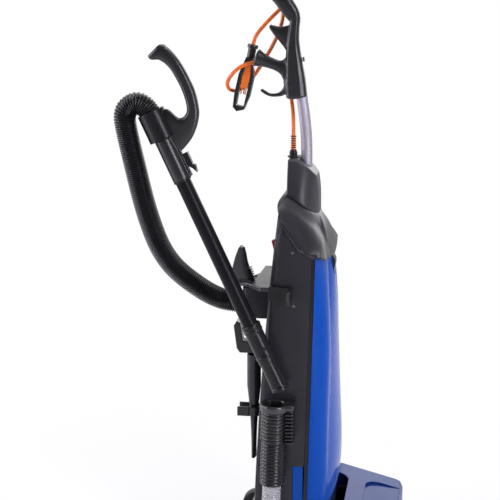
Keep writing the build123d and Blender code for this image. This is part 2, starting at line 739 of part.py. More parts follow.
with BuildPart() as bag_door:
    loft([door_outline(*station) for station in door_stations])
    loft([door_hollow(number) for number in range(len(door_stations))], mode=Mode.SUBTRACT)
    block((latch_x - 4, latch_x + 1), (-latch_half - 3, latch_half + 3), (latch_low_z - 4, latch_top_z + 4))
    block((latch_x, latch_x + 30), (-latch_half - 0.4, latch_half + 0.4), (latch_low_z - 0.5, latch_top_z + 1.5),
          mode=Mode.SUBTRACT)
    for side in (-1, 1):
        lug_y = side * (door_lug_y + door_lug_width + seat_gap)
        block((door_hinge_x - door_hinge_radius, door_hinge_x + door_hinge_radius),
              (lug_y - door_lug_width / 2, lug_y + door_lug_width / 2), (door_hinge_z, door_foot_z + 1))
        rod_y(door_hinge_x, door_hinge_z, door_hinge_radius, lug_y - door_lug_width / 2,
              lug_y + door_lug_width / 2)
        pin_y = side * (door_lug_y + door_lug_width / 2)
        rod_y(door_hinge_x, door_hinge_z, door_pin_radius, pin_y - 7, pin_y + 7)
bag_door.part.label = "bag_door"
export_step(bag_door.part, "parts/bag_door.step")

with BuildPart() as door_latch:
    with BuildSketch(side_plane(latch_half)):
        with BuildLine():
            Polyline((latch_x + 3, latch_top_z), (latch_x + 6, latch_top_z), (latch_x + 11, latch_top_z - 9),
                     (latch_x + 12, latch_top_z - 16), (latch_x + 9, latch_low_z + 2),
                     (latch_x + 6, latch_low_z), (latch_x + 4, latch_low_z + 4), (latch_x + 0.4, latch_top_z - 9),
                     close=True)
        make_face()
    extrude(amount=2 * latch_half)
door_latch.part.label = "door_latch"
export_step(door_latch.part, "parts/door_latch.step")

# Shoulder: the dome over the door and the slope up to the cap
shoulder_length = sqrt((shoulder_front[0] - shoulder_rear[0]) ** 2 + (shoulder_front[1] - shoulder_rear[1]) ** 2)
shoulder_plane = Plane(
    origin=((shoulder_rear[0] + shoulder_front[0]) / 2, 0, (shoulder_rear[1] + shoulder_front[1]) / 2),
    x_dir=(shoulder_front[0] - shoulder_rear[0], 0, shoulder_front[1] - shoulder_rear[1]),
    z_dir=(shoulder_rear[1] - shoulder_front[1], 0, shoulder_front[0] - shoulder_rear[0]),
)
cap_length = sqrt((cap_front[0] - cap_rear[0]) ** 2 + (cap_front[1] - cap_rear[1]) ** 2)
cap_plane = Plane(
    origin=((cap_rear[0] + cap_front[0]) / 2, 0, (cap_rear[1] + cap_front[1]) / 2),
    x_dir=(cap_front[0] - cap_rear[0], 0, cap_front[1] - cap_rear[1]),
    z_dir=(cap_rear[1] - cap_front[1], 0, cap_front[0] - cap_rear[0]),
)
with BuildPart() as shoulder_cover:
    with BuildSketch(shoulder_plane):
        RectangleRounded(shoulder_length, 2 * body_half, 24)
    with BuildSketch(cap_plane):
        RectangleRounded(cap_length, 2 * cap_half, cap_corner_radius)
    loft()
    with BuildSketch(shoulder_plane.offset(-1)):
        RectangleRounded(shoulder_length - 3 * wall, 2 * body_half - 3 * wall, 22)
    with BuildSketch(cap_plane.offset(-wall)):
        RectangleRounded(cap_length - 3 * wall, 2 * cap_half - 3 * wall, cap_corner_radius - wall)
    loft(mode=Mode.SUBTRACT)
shoulder_cover.part.label = "shoulder_cover"
export_step(shoulder_cover.part, "parts/shoulder_cover.step")

with BuildPart() as top_cap:
    side_shape([cap_rear, (18, cap_top_z), (44, cap_top_z), (69, 815), (84, 799), (87, 773), cap_front], cap_half)
    fillet(top_cap.edges().filter_by(Plane.XZ).filter_by(lambda edge: abs(edge.center().Y) > cap_half - 1)
           .sort_by(Axis.Z)[2:], radius=5)
    side_shape([(cap_rear[0] + wall, cap_rear[1] - 2), (18 + wall, cap_top_z - wall), (43, cap_top_z - wall),
                (67, 812), (81, 797), (84, 773), (cap_front[0] - wall, cap_front[1] + 2)], cap_half - wall,
               mode=Mode.SUBTRACT)
    with BuildSketch(Plane.XY.offset(cap_front[1] - 5)) as socket:
        with Locations((tube_foot[0], 0)):
            Circle(tube_radius + 4)
    extrude(amount=cap_top_z - cap_front[1] - 10)
    side_shape([(0, cap_front[1] - 30), cap_rear, cap_front, (100, cap_front[1] - 30)], cap_half,
               mode=Mode.SUBTRACT)
    with BuildSketch(Plane.XY.offset(cap_front[1] - 5)):
        with Locations((tube_foot[0], 0)):
            Circle(tube_radius + running_gap)
    extrude(amount=200, mode=Mode.SUBTRACT)
top_cap.part.label = "top_cap"
export_step(top_cap.part, "parts/top_cap.step")

# Handle: bent tube and the cast grip with its cord hooks
with BuildPart() as handle_tube:
    with BuildLine(Plane.XZ) as tube_line:
        FilletPolyline(tube_foot, tube_bend, tube_head, radius=tube_bend_radius)
    with BuildSketch(Plane(origin=tube_line.line @ 0, z_dir=tube_line.line % 0)):
        Circle(tube_radius)
        Circle(tube_radius - 1.5, mode=Mode.SUBTRACT)
    sweep()
handle_tube.part.label = "handle_tube"
export_step(handle_tube.part, "parts/handle_tube.step")

with BuildPart() as handle_grip:
    # the stem that the tube is clamped in
    with BuildSketch(Plane.XZ):
        with BuildLine():
            ThreePointArc((51, 947), (45.5, 988), (34.5, 1063))
            Polyline((34.5, 1063), (37, 1098), (23, 1130), (-18, 1128), (-2, 1108), (17, 1093))
            ThreePointArc((17, 1093), (8.5, 1030), (10, 943))
            Line((10, 943), (51, 947))
        make_face()
    extrude(amount=stem_half, both=True)
    long_edges = handle_grip.edges().filter_by(lambda edge: edge.length > 100)
    fillet(long_edges, radius=4)
    # the closed loop above it
    with BuildSketch(Plane.XZ) as loop_sketch:
        with Locations(Location(loop_centre, loop_lean)):
            Ellipse(loop_long, loop_short)
        with BuildLine():
            Polyline((36, 1102), (22, 1132), (0, 1172), (-70, 1160), (-40, 1142), (-17, 1127), (-2, 1108),
                     close=True)
        make_face()
        with Locations(Location(loop_centre, loop_lean)):
            Ellipse(loop_long - loop_grip, loop_short - loop_grip, mode=Mode.SUBTRACT)
    extrude(amount=stem_half - 1, both=True)
handle_grip.part.label = "handle_grip"

with BuildPart() as cord_hooks:
    with BuildSketch(Plane.XZ):
        with BuildLine():
            Spline((12, 1022), (-3, 1014), (-24, 1023), (-37, 1030))
            Polyline((-37, 1030), (-41, 1035), (-53, 1001))
            Spline((-53, 1001), (-34, 1001), (-12, 995), (3, 980), (12, 960))
            Line((12, 960), (12, 1022))
        make_face()
        with BuildLine():
            Spline((12, 1030), (5, 1042), (-6, 1055), (-19, 1067))
            Polyline((-19, 1067), (-24, 1075), (-21, 1079))
            Spline((-21, 1079), (-8, 1078), (6, 1078), (20, 1092))
            Line((20, 1092), (12, 1030))
        make_face()
        with BuildLine():
            Spline((3, 982), (5, 972), (-3, 956), (-19, 950), (-33, 955), (-38, 958))
            Line((-38, 958), (-42, 954))
            Spline((-42, 954), (-31, 945), (-17, 943), (-2, 946), (12, 950))
            Polyline((12, 950), (12, 984), (3, 982))
        make_face()
    extrude(amount=arm_half, both=True)

with BuildPart() as handle_casting:
    add(handle_grip.part)
    add(cord_hooks.part)
    with BuildLine(Plane.XZ) as tube_bore_line:
        FilletPolyline(tube_foot, tube_bend, tube_head, radius=tube_bend_radius)
    with BuildSketch(Plane(origin=tube_bore_line.line @ 0, z_dir=tube_bore_line.line % 0)):
        Circle(tube_radius + running_gap)
    sweep(mode=Mode.SUBTRACT)
handle_casting.part.label = "handle_grip"
export_step(handle_casting.part, "parts/handle_grip.step")

with BuildPart() as body_screws:
    with BuildSketch(side_plane(-body_half)):
        with Locations((41, 664), (44, 560), (20, 140)):
            Circle(3)
    extrude(amount=1)
    with BuildSketch(Plane(origin=(42, 0, 1016), x_dir=(0, 1, 0), z_dir=(1, 0, 0.15))):
        Circle(4.5)
    extrude(amount=3.5)
body_screws.part.label = "body_screws"
export_step(body_screws.part, "parts/body_screws.step")

with BuildPart() as cable_gland:
    with BuildSketch(Plane.XZ):
        with BuildLine():
            Polyline((gland_x, cap_top_z), (gland_x + 8, cap_top_z), (gland_x + 8, cap_top_z + 3),
                     (gland_x + 6.5, cap_top_z + 7), (gland_x + 5.2, cap_top_z + 7),
                     (gland_x + 4.4, cap_top_z + gland_height), (gland_x, cap_top_z + gland_height), close=True)
        make_face()
    revolve(axis=Axis((gland_x, 0, 0), (0, 0, 1)))
cable_gland.part.label = "cable_gland"
export_step(cable_gland.part, "parts/cable_gland.step")

# Rear face: hose inlet, upper hook with its shelf, lower hook, tool clip and crevice tool
with BuildPart() as hose_inlet:
    with BuildSketch(Plane.XY.offset(515)):
        with Locations(((inlet_x + rear_x(inlet_z)) / 2, inlet_y + 12)):
            Rectangle(rear_x(inlet_z) - inlet_x - seat_gap, 74)
        fillet(vertices().group_by(Axis.X)[0], radius=12)
    extrude(amount=60)
    with BuildSketch(Plane.XZ):
        with BuildLine():
            Polyline((inlet_x - 5, 510), (rear_x(510) - seat_gap, 510), (rear_x(580) - seat_gap, 580),
                     (inlet_x - 5, 580), close=True)
        make_face()
    extrude(amount=100, both=True, mode=Mode.INTERSECT)
    with BuildSketch(Plane.YZ.offset(inlet_x)):
        with Locations((inlet_y, inlet_z)):
            Circle(vacuum_hose_radius - 2.5)
    extrude(amount=80, mode=Mode.SUBTRACT)
hose_inlet.part.label = "hose_inlet"
export_step(hose_inlet.part, "parts/hose_inlet.step")

shelf_z = 576.0
with BuildPart() as rear_hook:
    with BuildSketch(Plane.XY.offset(shelf_z)):
        with BuildLine():
            Polyline((rear_x(shelf_z) - 0.05, -96), (rear_x(shelf_z) - 0.05, 84), (-42, 84), (-44, 20), (-66, -28),
                     (-92, -30), (-92, -50), (-60, -62), (-26, -96), close=True)
        make_face()
        with BuildLine():
            Polyline((-46, 4), (-60, -26), (-52, -34), (-46, -30), close=True)
        make_face(mode=Mode.SUBTRACT)
    extrude(amount=9)
    with BuildSketch(side_plane(-31)):
        with BuildLine():
            Spline((-92, 577), (-90, 600), (-83, 632), (-75, 653))
            Line((-75, 653), (-69, 653))
            Spline((-69, 653), (-66, 630), (-62, 604), (-50, 585))
            Polyline((-50, 585), (-50, 577), (-92, 577))
        make_face()
    extrude(amount=20)
rear_hook.part.label = "rear_hook"
export_step(rear_hook.part, "parts/rear_hook.step")

with BuildPart() as lower_hook:
    with BuildSketch(side_plane(-28)):
        with BuildLine():
            Polyline((rear_x(437) - seat_gap, 437), (-74, 437), (-80, 446), (-86, 492), (-80, 502), (-73, 498),
                     (-68, 462), (rear_x(456) - seat_gap, 456), close=True)
        make_face()
    extrude(amount=24)
lower_hook.part.label = "lower_hook"
export_step(lower_hook.part, "parts/lower_hook.step")

tool_x = -46.0
tool_y = -42.0
with BuildPart() as crevice_tool:
    with BuildSketch(Plane.XY.offset(367)):
        with Locations((tool_x, tool_y)):
            Circle(14)
            Circle(12, mode=Mode.SUBTRACT)
    extrude(amount=66)
    with BuildSketch(Plane.XY.offset(367)):
        with Locations((tool_x, tool_y)):
            Circle(14)
    with BuildSketch(Plane.XY.offset(345)):
        with Locations((tool_x, tool_y)):
            Ellipse(11.5, 11)
    with BuildSketch(Plane.XY.offset(216)):
        with Locations((tool_x, tool_y)):
            Ellipse(5, 16)
    loft()
crevice_tool.part.label = "crevice_tool"
export_step(crevice_tool.part, "parts/crevice_tool.step")

with BuildPart() as tool_clip:
    with BuildSketch(Plane.XY.offset(306)):
        with Locations((tool_x, tool_y)):
            Circle(17)
        with Locations(((tool_x + rear_x(306)) / 2 + 2, tool_y)):
            Rectangle(rear_x(306) - seat_gap - tool_x - 4, 22)
        with Locations((-66, tool_y)):
            Rectangle(24, 34)
        with Locations((tool_x, tool_y)):
            Ellipse(10.35, 12.2, mode=Mode.SUBTRACT)
        with Locations((-66, tool_y)):
            Rectangle(30, 24, mode=Mode.SUBTRACT)
    extrude(amount=19)
tool_clip.part.label = "tool_clip"
export_step(tool_clip.part, "parts/tool_clip.step")

switch_x = rear_x(switch_z)
with BuildPart() as power_switch:
    with BuildSketch(side_plane(switch_y + switch_width / 2)):
        with BuildLine():
            Polyline((switch_x + 4, 660), (switch_x - 3, 660), (switch_x - 8, 679), (switch_x + 1, 682.5),
                     (switch_x + 5, 682), close=True)
        make_face()
    extrude(amount=switch_width)
power_switch.part.label = "power_switch"
export_step(power_switch.part, "parts/power_switch.step")

# Right side: wand clip, cuff, lower hose, clear hose and elbow
stow_axis = Vector(sin(radians(stow_tilt)), 0, cos(radians(stow_tilt)))


def stow_plane(height):
    """The plane across the stowed wand's axis, height above the top of the cuff."""
    return Plane(origin=(cuff_foot[0] + height * stow_axis.X, wand_y, cuff_foot[1] + height * stow_axis.Z),
                 x_dir=(stow_axis.Z, 0, -stow_axis.X), z_dir=tuple(stow_axis))


clip_radius = 18.0
clip_low = 197.0
clip_height = 27.0
clip_half = 22.5
body_side_local = -wand_y - body_half
with BuildPart() as wand_clip:
    with BuildSketch(stow_plane(clip_low)):
        with BuildLine():
            Polyline((-clip_half, body_side_local), (-clip_half, clip_radius), (-12, clip_radius - 0.5),
                     (0, clip_radius - 1), (clip_half - 6.5, clip_radius - 2),
                     (clip_half - 6.5, -10), (clip_half - 3, -12), (clip_half, -10), (clip_half, body_side_local),
                     close=True)
        make_face()
        Circle(clip_radius, mode=Mode.SUBTRACT)
    extrude(amount=clip_height)
wand_clip.part.label = "wand_clip"
export_step(wand_clip.part, "parts/wand_clip.step")

with BuildPart() as hose_cuff:
    with BuildSketch(stow_plane(-cuff_ring_height)):
        Circle(cuff_ring_radius)
    extrude(amount=cuff_ring_height)
    with BuildSketch(stow_plane(-cuff_sleeve_length)):
        Circle(cuff_rib_radius - 2.5)
    extrude(amount=cuff_sleeve_length)
    with BuildSketch(stow_plane(-cuff_ring_height)):
        with Locations((0, body_side_local - 6.05)):
            Rectangle(24, 12)
    extrude(amount=cuff_ring_height)
    with BuildSketch(stow_plane(-cuff_sleeve_length + wall)):
        Circle(cuff_bore)
    extrude(amount=cuff_sleeve_length, mode=Mode.SUBTRACT)
    with BuildSketch(stow_plane(-cuff_sleeve_length - 1)):
        Circle(cuff_bore - 3)
    extrude(amount=cuff_sleeve_length, mode=Mode.SUBTRACT)
hose_cuff.part.label = "hose_cuff"
export_step(hose_cuff.part, "parts/hose_cuff.step")

with BuildPart() as cuff_ribs:
    for rib in range(7):
        with BuildSketch(stow_plane(-cuff_ring_height - 7 - rib * cuff_rib_pitch - 2)):
            Circle(cuff_rib_radius)
            Circle(cuff_rib_radius - 2.5, mode=Mode.SUBTRACT)
        extrude(amount=3.2)
cuff_ribs.part.label = "cuff_ribs"
export_step(cuff_ribs.part, "parts/cuff_ribs.step")

with BuildPart() as lower_hose:
    with BuildSketch(stow_plane(-cuff_sleeve_length)):
        Circle(lower_hose_radius)
        Circle(lower_hose_radius - 4, mode=Mode.SUBTRACT)
    extrude(amount=-lower_hose_length)
lower_hose.part.label = "lower_hose"
export_step(lower_hose.part, "parts/lower_hose.step")

clear_top = stow_plane(-cuff_sleeve_length - lower_hose_length)
clear_drop = clear_top.origin.Z - elbow_top_z
with BuildPart() as clear_hose:
    with BuildSketch(clear_top):
        Circle(clear_hose_radius)
    with BuildSketch(Plane.XY.offset(elbow_top_z)):
        with Locations((pivot_x, wand_y)):
            Circle(clear_hose_radius)
    loft()
    with BuildSketch(clear_top):
        Circle(clear_hose_radius - 2)
    with BuildSketch(Plane.XY.offset(elbow_top_z)):
        with Locations((pivot_x, wand_y)):
            Circle(clear_hose_radius - 2)
    loft(mode=Mode.SUBTRACT)
clear_hose.part.label = "clear_hose"
export_step(clear_hose.part, "parts/clear_hose.step")

with BuildPart() as suction_elbow:
    rod_y(pivot_x, pivot_z, elbow_radius, wand_y, -arm_outer_y - 1)
    with Locations((pivot_x, wand_y, pivot_z)):
        Sphere(elbow_radius)
    with BuildSketch(Plane.XY.offset(pivot_z)):
        with Locations((pivot_x, wand_y)):
            Circle(elbow_radius)
    extrude(amount=elbow_top_z - pivot_z)
    rod_y(pivot_x, pivot_z, trunnion_radius + running_gap, wand_y + 10, -arm_outer_y, mode=Mode.SUBTRACT)
    rod_y(pivot_x, pivot_z, trunnion_bore, wand_y, -arm_outer_y, mode=Mode.SUBTRACT)
    with BuildSketch(Plane.XY.offset(pivot_z)):
        with Locations((pivot_x, wand_y)):
            Circle(trunnion_bore)
    extrude(amount=elbow_top_z, mode=Mode.SUBTRACT)
suction_elbow.part.label = "suction_elbow"
export_step(suction_elbow.part, "parts/suction_elbow.step")

# Inside the body: floor, filter, motor with its fan, bag and its collar
floor_front_x = trim_x(floor_z) - seat_gap
with BuildPart() as compartment_floor:
    block((rear_x(floor_z) + wall + seat_gap, floor_front_x), (-body_half + wall + seat_gap, body_half - wall - seat_gap),
          (floor_z, floor_z + floor_thickness))
    block((0, filter_depth), (-filter_half + 4, filter_half - 4), (floor_z - 1, floor_z + floor_thickness + 1),
          mode=Mode.SUBTRACT)
compartment_floor.part.label = "compartment_floor"
export_step(compartment_floor.part, "parts/compartment_floor.step")

with BuildPart() as motor_filter:
    block((-4, filter_depth + 4), (-filter_half, filter_half),
          (floor_z + floor_thickness, floor_z + floor_thickness + filter_height))
motor_filter.part.label = "motor_filter"
export_step(motor_filter.part, "parts/motor_filter.step")

fan_right_y = suction_motor_right_y - 6 - fan_width
with BuildPart() as suction_motor:
    rod_y(suction_motor_x, suction_motor_z, suction_motor_radius, suction_motor_right_y, suction_motor_left_y)
    fillet(suction_motor.edges().filter_by(GeomType.CIRCLE).sort_by(Axis.Y)[-1], radius=6)
    rod_y(suction_motor_x, suction_motor_z, fan_radius + 4, fan_right_y - 4, suction_motor_right_y)
    rod_y(suction_motor_x, suction_motor_z, fan_radius + 1.5, fan_right_y - 2, suction_motor_right_y - 3,
          mode=Mode.SUBTRACT)
    rod_y(suction_motor_x, suction_motor_z, 14, fan_right_y - 5, fan_right_y, mode=Mode.SUBTRACT)
    rod_y(suction_motor_x, suction_motor_z, fan_shaft_radius, fan_right_y + 1, suction_motor_right_y)
    block((suction_motor_x - 14, suction_motor_x + 14), (0, 50),
          (body_foot_z, suction_motor_z - suction_motor_radius + 4))
suction_motor.part.label = "suction_motor"
export_step(suction_motor.part, "parts/suction_motor.step")

with BuildPart() as fan_impeller:
    rod_y(suction_motor_x, suction_motor_z, fan_radius, fan_right_y + fan_width - 2, fan_right_y + fan_width)
    rod_y(suction_motor_x, suction_motor_z, 9, fan_right_y + 2, fan_right_y + fan_width)
    with BuildSketch(side_plane(fan_right_y + fan_width - 1)):
        with Locations((suction_motor_x, suction_motor_z)):
            with PolarLocations(0, fan_blades):
                with Locations(Location((fan_radius / 2 + 3, 3), 12)):
                    Rectangle(fan_radius - 9, 1.6)
    extrude(amount=fan_width - 5)
    rod_y(suction_motor_x, suction_motor_z, fan_shaft_radius + running_gap, fan_right_y - 1,
          fan_right_y + fan_width + 1, mode=Mode.SUBTRACT)
fan_impeller.part.label = "fan_impeller"
export_step(fan_impeller.part, "parts/fan_impeller.step")

collar_x = rear_x(bag_top_z) + wall + seat_gap
with BuildPart() as bag_collar:
    with BuildSketch(Plane.YZ.offset(collar_x)):
        with Locations((inlet_y, inlet_z)):
            RectangleRounded(70, 66, 6)
            Circle(vacuum_hose_radius - 5, mode=Mode.SUBTRACT)
    extrude(amount=3)
    with BuildSketch(Plane.YZ.offset(inlet_x + 20)):
        with Locations((inlet_y, inlet_z)):
            Circle(vacuum_hose_radius - 3)
            Circle(vacuum_hose_radius - 5, mode=Mode.SUBTRACT)
    extrude(amount=collar_x - inlet_x - 20)
bag_collar.part.label = "bag_collar"
export_step(bag_collar.part, "parts/bag_collar.step")

bag_x = collar_x + 3 + seat_gap
with BuildPart() as filter_bag:
    block((bag_x, bag_x + bag_depth), (-bag_half, bag_half), (bag_foot_z, bag_top_z))
    fillet(filter_bag.edges().filter_by(Axis.Z), radius=22)
    fillet(filter_bag.faces().sort_by(Axis.Z)[-1].edges(), radius=16)
    fillet(filter_bag.faces().sort_by(Axis.Z)[0].edges(), radius=16)
    block((bag_x + 2, bag_x + bag_depth - 2), (-bag_half + 12, bag_half - 12), (bag_foot_z + 12, bag_top_z - 12),
          mode=Mode.SUBTRACT)
    with BuildSketch(Plane.YZ.offset(bag_x - 1)):
        with Locations((inlet_y, inlet_z)):
            Circle(vacuum_hose_radius - 5)
    extrude(amount=6, mode=Mode.SUBTRACT)
filter_bag.part.label = "filter_bag"
export_step(filter_bag.part, "parts/filter_bag.step")

# Wand, made along its own axis
wand_axis = Vector(-sin(radians(wand_tilt)), 0, cos(radians(wand_tilt)))
wand_side = Vector(cos(radians(wand_tilt)), 0, sin(radians(wand_tilt)))
wand_origin = Vector(wand_tip[0], wand_y, wand_tip[1])
wand_side_plane = Plane(origin=wand_origin, x_dir=wand_side, z_dir=(0, -1, 0))


def wand_plane(along):
    """The plane across the wand, along its axis from the tip. Its x points to the front."""
    return Plane(origin=wand_origin + wand_axis * along, x_dir=wand_side, z_dir=wand_axis)


def wand_ring(start, end, outer, inner=0.0, mode=Mode.ADD):
    """A round stretch of the wand between two distances from its tip."""
    with BuildSketch(wand_plane(start)) as ring:
        Circle(outer)
        if inner > 0:
            Circle(inner, mode=Mode.SUBTRACT)
    extrude(ring.sketch, amount=end - start, mode=mode)


with BuildPart() as wand_tube:
    wand_ring(adapter_step, collar_end - 30, wand_tube_radius, wand_tube_radius - wand_wall)
wand_tube.part.label = "wand_tube"
export_step(wand_tube.part, "parts/wand_tube.step")

button_plane = Plane(origin=wand_origin + wand_axis * button_along + wand_side * button_across
                     + Vector(0, -adapter_radius - 2, 0), x_dir=wand_side, z_dir=(0, 1, 0))
with BuildPart() as wand_adapter:
    with BuildSketch(wand_plane(0)):
        Circle(adapter_radius - 0.5)
    extrude(amount=adapter_step, taper=0)
    wand_ring(adapter_step - 0.1, adapter_length, adapter_radius + 0.6)
    wand_ring(adapter_step, adapter_length + 1, wand_tube_radius + running_gap, mode=Mode.SUBTRACT)
    wand_ring(-1, adapter_step + 1, wand_tube_radius - wand_wall, mode=Mode.SUBTRACT)
    wand_ring(-1, tip_bore_length, tip_bore, mode=Mode.SUBTRACT)
    with BuildSketch(button_plane):
        Circle(button_radius + seat_gap)
    extrude(amount=button_depth, mode=Mode.SUBTRACT)
wand_adapter.part.label = "wand_adapter"
export_step(wand_adapter.part, "parts/wand_adapter.step")

with BuildPart() as adapter_button:
    with BuildSketch(button_plane.offset(1.8)):
        Circle(button_radius)
    extrude(amount=button_depth - 1.8 - button_travel)
adapter_button.part.label = "adapter_button"
export_step(adapter_button.part, "parts/adapter_button.step")

with BuildPart() as wand_grip:
    # crook of the grip: the bowl beside the tube, the bar in the palm and the flared end
    with BuildSketch(wand_side_plane):
        with BuildLine():
            Polyline((10, 500), (22, 496), (31, 497))
            Spline((31, 497), (57, 512), (81, 540), (92, 575), (94, 610), (91, 645), (82, 674))
            Polyline((82, 674), (74, 686), (68, 687), (41, 677))
            Spline((41, 677), (45, 667), (56, 663), (66, 648), (71, 620), (71.5, 595), (67, 562), (50, 549),
                   (36, 554), (30.5, 577))
            Polyline((30.5, 577), (28, 577), (28, 530), (10, 530), (10, 500))
        make_face()
    extrude(amount=grip_half, both=True)
    wand_ring(sleeve_start, sleeve_end, sleeve_radius)
    with BuildSketch(wand_side_plane):
        with BuildLine():
            Polyline((0, sleeve_start), (22, sleeve_start), (22.5, sleeve_end), (0, sleeve_end), close=True)
        make_face()
    extrude(amount=6, both=True)
    wand_ring(sleeve_start - 1, sleeve_end + 1, wand_tube_radius + running_gap, mode=Mode.SUBTRACT)
    wand_ring(sleeve_end, collar_end + 10, collar_radius + 0.8, mode=Mode.SUBTRACT)
wand_grip.part.label = "wand_grip"
export_step(wand_grip.part, "parts/wand_grip.step")

with BuildPart() as wand_latch:
    with BuildSketch(wand_side_plane):
        with BuildLine():
            Polyline((23, 488), (32.5, 488), (32, 462), (36, 461), (33, 446), (29, 455), (23, 463), close=True)
        make_face()
    extrude(amount=6, both=True)
wand_latch.part.label = "wand_latch"
export_step(wand_latch.part, "parts/wand_latch.step")

with BuildPart() as hose_collar:
    wand_ring(collar_start, collar_end, collar_radius)
    wand_ring(collar_end - 31, collar_end + 1, vacuum_hose_radius + 0.4, mode=Mode.SUBTRACT)
    wand_ring(collar_start - 1, collar_end, wand_tube_radius + running_gap, mode=Mode.SUBTRACT)
hose_collar.part.label = "hose_collar"
export_step(hose_collar.part, "parts/hose_collar.step")


def route_radii(points):
    """The arc at each corner of a cord's route: as large as its two runs allow."""
    radii = []
    for before, corner, after in zip(points, points[1:], points[2:]):
        run_in = Vector(*corner) - Vector(*before)
        run_out = Vector(*after) - Vector(*corner)
        half_turn = radians(run_in.get_angle(run_out)) / 2
        radii.append(0.45 * min(run_in.length, run_out.length) / tan(half_turn))
    return radii


def route_tube(points, radius):
    """A plain round tube along a route of straight runs and arcs."""
    with BuildLine() as route:
        FilletPolyline(*points, radius=route_radii(points))
    with BuildSketch(Plane(origin=route.line @ 0, z_dir=route.line % 0)) as section:
        Circle(radius)
    sweep(section.sketch, path=route.line)
    return sum(edge.length for edge in route.line.edges())


hose_start = wand_origin + wand_axis * (collar_end - 28)
hose_first = wand_origin + wand_axis * (collar_end + 25)
hose_route = (
    tuple(hose_start),
    tuple(hose_first),
    (-275, -160, 934),
    (-267, -155, 880),
    (-255, -150, 822),
    (-244, -143, 764),
    (-232, -134, 713),
    (-218, -122, 666),
    (-200, -110, 631),
    (-181, -98, 607),
    (-159, -84, 585),
    (-136, -68, 564),
    (-112, -53, 548),
    (-88, inlet_y, inlet_z),
    (inlet_x - 0.1, inlet_y, inlet_z),
)
with BuildPart() as vacuum_hose:
    hose_length = route_tube(hose_route, vacuum_hose_radius)
print("hose radii", [round(value) for value in route_radii(hose_route)], "length", round(hose_length))
print("hose volume ratio", vacuum_hose.part.volume / (3.14159265 * vacuum_hose_radius**2 * hose_length))
vacuum_hose.part.label = "vacuum_hose"
export_step(vacuum_hose.part, "parts/vacuum_hose.step")

cord_route = (
    (gland_x, 0, cap_top_z + gland_height),
    (gland_x, 0, 893),
    (21, 17, 921),
    (15, 20, 953),
    (8, 20, 983),
    (-10, 17, 1003),
    (-33, 14, 1010),
    (-57, 13, 1008),
    (-80, 12, 1001),
    (-99, 13, 985),
    (-111, 20, 966),
    (-108, 34, 951),
    (-92, 45, 948),
    (-73, 46, 961),
    (-53, 42.5, 988),
    (-33, 34, 1019),
    (-17, 28, 1046),
    (-5, 24, 1073),
    (1, 22, 1099),
    (1, 21.5, 1123),
    (-9, 21, 1146),
    (-22, 18.5, 1166),
    (-30, 2, 1178),
    (-24, -18.5, 1172),
    (-5, -22, 1160),
    (16, -20, 1152),
    (30, -7, 1147),
    (30, 13, 1143),
    (18, 28, 1134),
    (3, 31, 1119),
    (-10, 29, 1106),
    (-22.5, 28, 1094),
    (-35.5, 28, 1080.5),
    (-47.5, 28, 1067),
    (-56.4, 28, 1053.8),
    (-58.99, 28, 1041.05),
)
with BuildPart() as mains_cord:
    cord_length = route_tube(cord_route, cord_radius)
print("cord radii", [round(value) for value in route_radii(cord_route)], "length", round(cord_length))
print("cord volume ratio", mains_cord.part.volume / (3.14159265 * cord_radius**2 * cord_length))
mains_cord.part.label = "mains_cord"
export_step(mains_cord.part, "parts/mains_cord.step")

# Plug and the yoke that locks it
plug_top = Vector(-59, 28, 1041)
plug_tilt = 11.5
plug_down = Vector(-sin(radians(plug_tilt)), 0, -cos(radians(plug_tilt)))
plug_side = Vector(cos(radians(plug_tilt)), 0, -sin(radians(plug_tilt)))
plug_face = Plane(origin=plug_top, x_dir=plug_side, z_dir=(0, -1, 0))
yoke_half = 9.0


def plug_plane(down):
    """The plane across the plug, down along its axis from the yoke's top ring."""
    return Plane(origin=plug_top + plug_down * down, x_dir=plug_side, z_dir=plug_down * -1)


with BuildPart() as cord_yoke:
    with BuildSketch(plug_plane(7)):
        Circle(10.5)
    extrude(amount=7)
    with BuildSketch(plug_plane(30)):
        Circle(8)
    extrude(amount=24)
    with BuildSketch(plug_face):
        with BuildLine():
            Polyline((-8, -26), (-16, -60), (-17, -100), (-15, -127), (-6, -134), (8, -128), (14, -100), (15, -60),
                     (9, -40), (8, -26), close=True)
        make_face()
        with BuildLine():
            Polyline((-6, -40), (-9, -64), (-9, -122), (6, -122), (8, -64), (6, -40), close=True)
        make_face(mode=Mode.SUBTRACT)
    extrude(amount=yoke_half, both=True)
cord_yoke.part.label = "cord_yoke"
export_step(cord_yoke.part, "parts/cord_yoke.step")

with BuildPart() as plug_body:
    with BuildSketch(plug_face):
        with BuildLine():
            Polyline((-5, -40.1), (-8, -63), (-8.3, -87), (5.3, -87), (7.2, -63), (5, -40.1), close=True)
        make_face()
    extrude(amount=8, both=True)
    with BuildSketch(plug_plane(87)):
        with Locations((-4.5, -5), (4, -5), (-0.5, 4)):
            Rectangle(2, 5)
    extrude(amount=-12)
plug_body.part.label = "plug_body"
export_step(plug_body.part, "parts/plug_body.step")
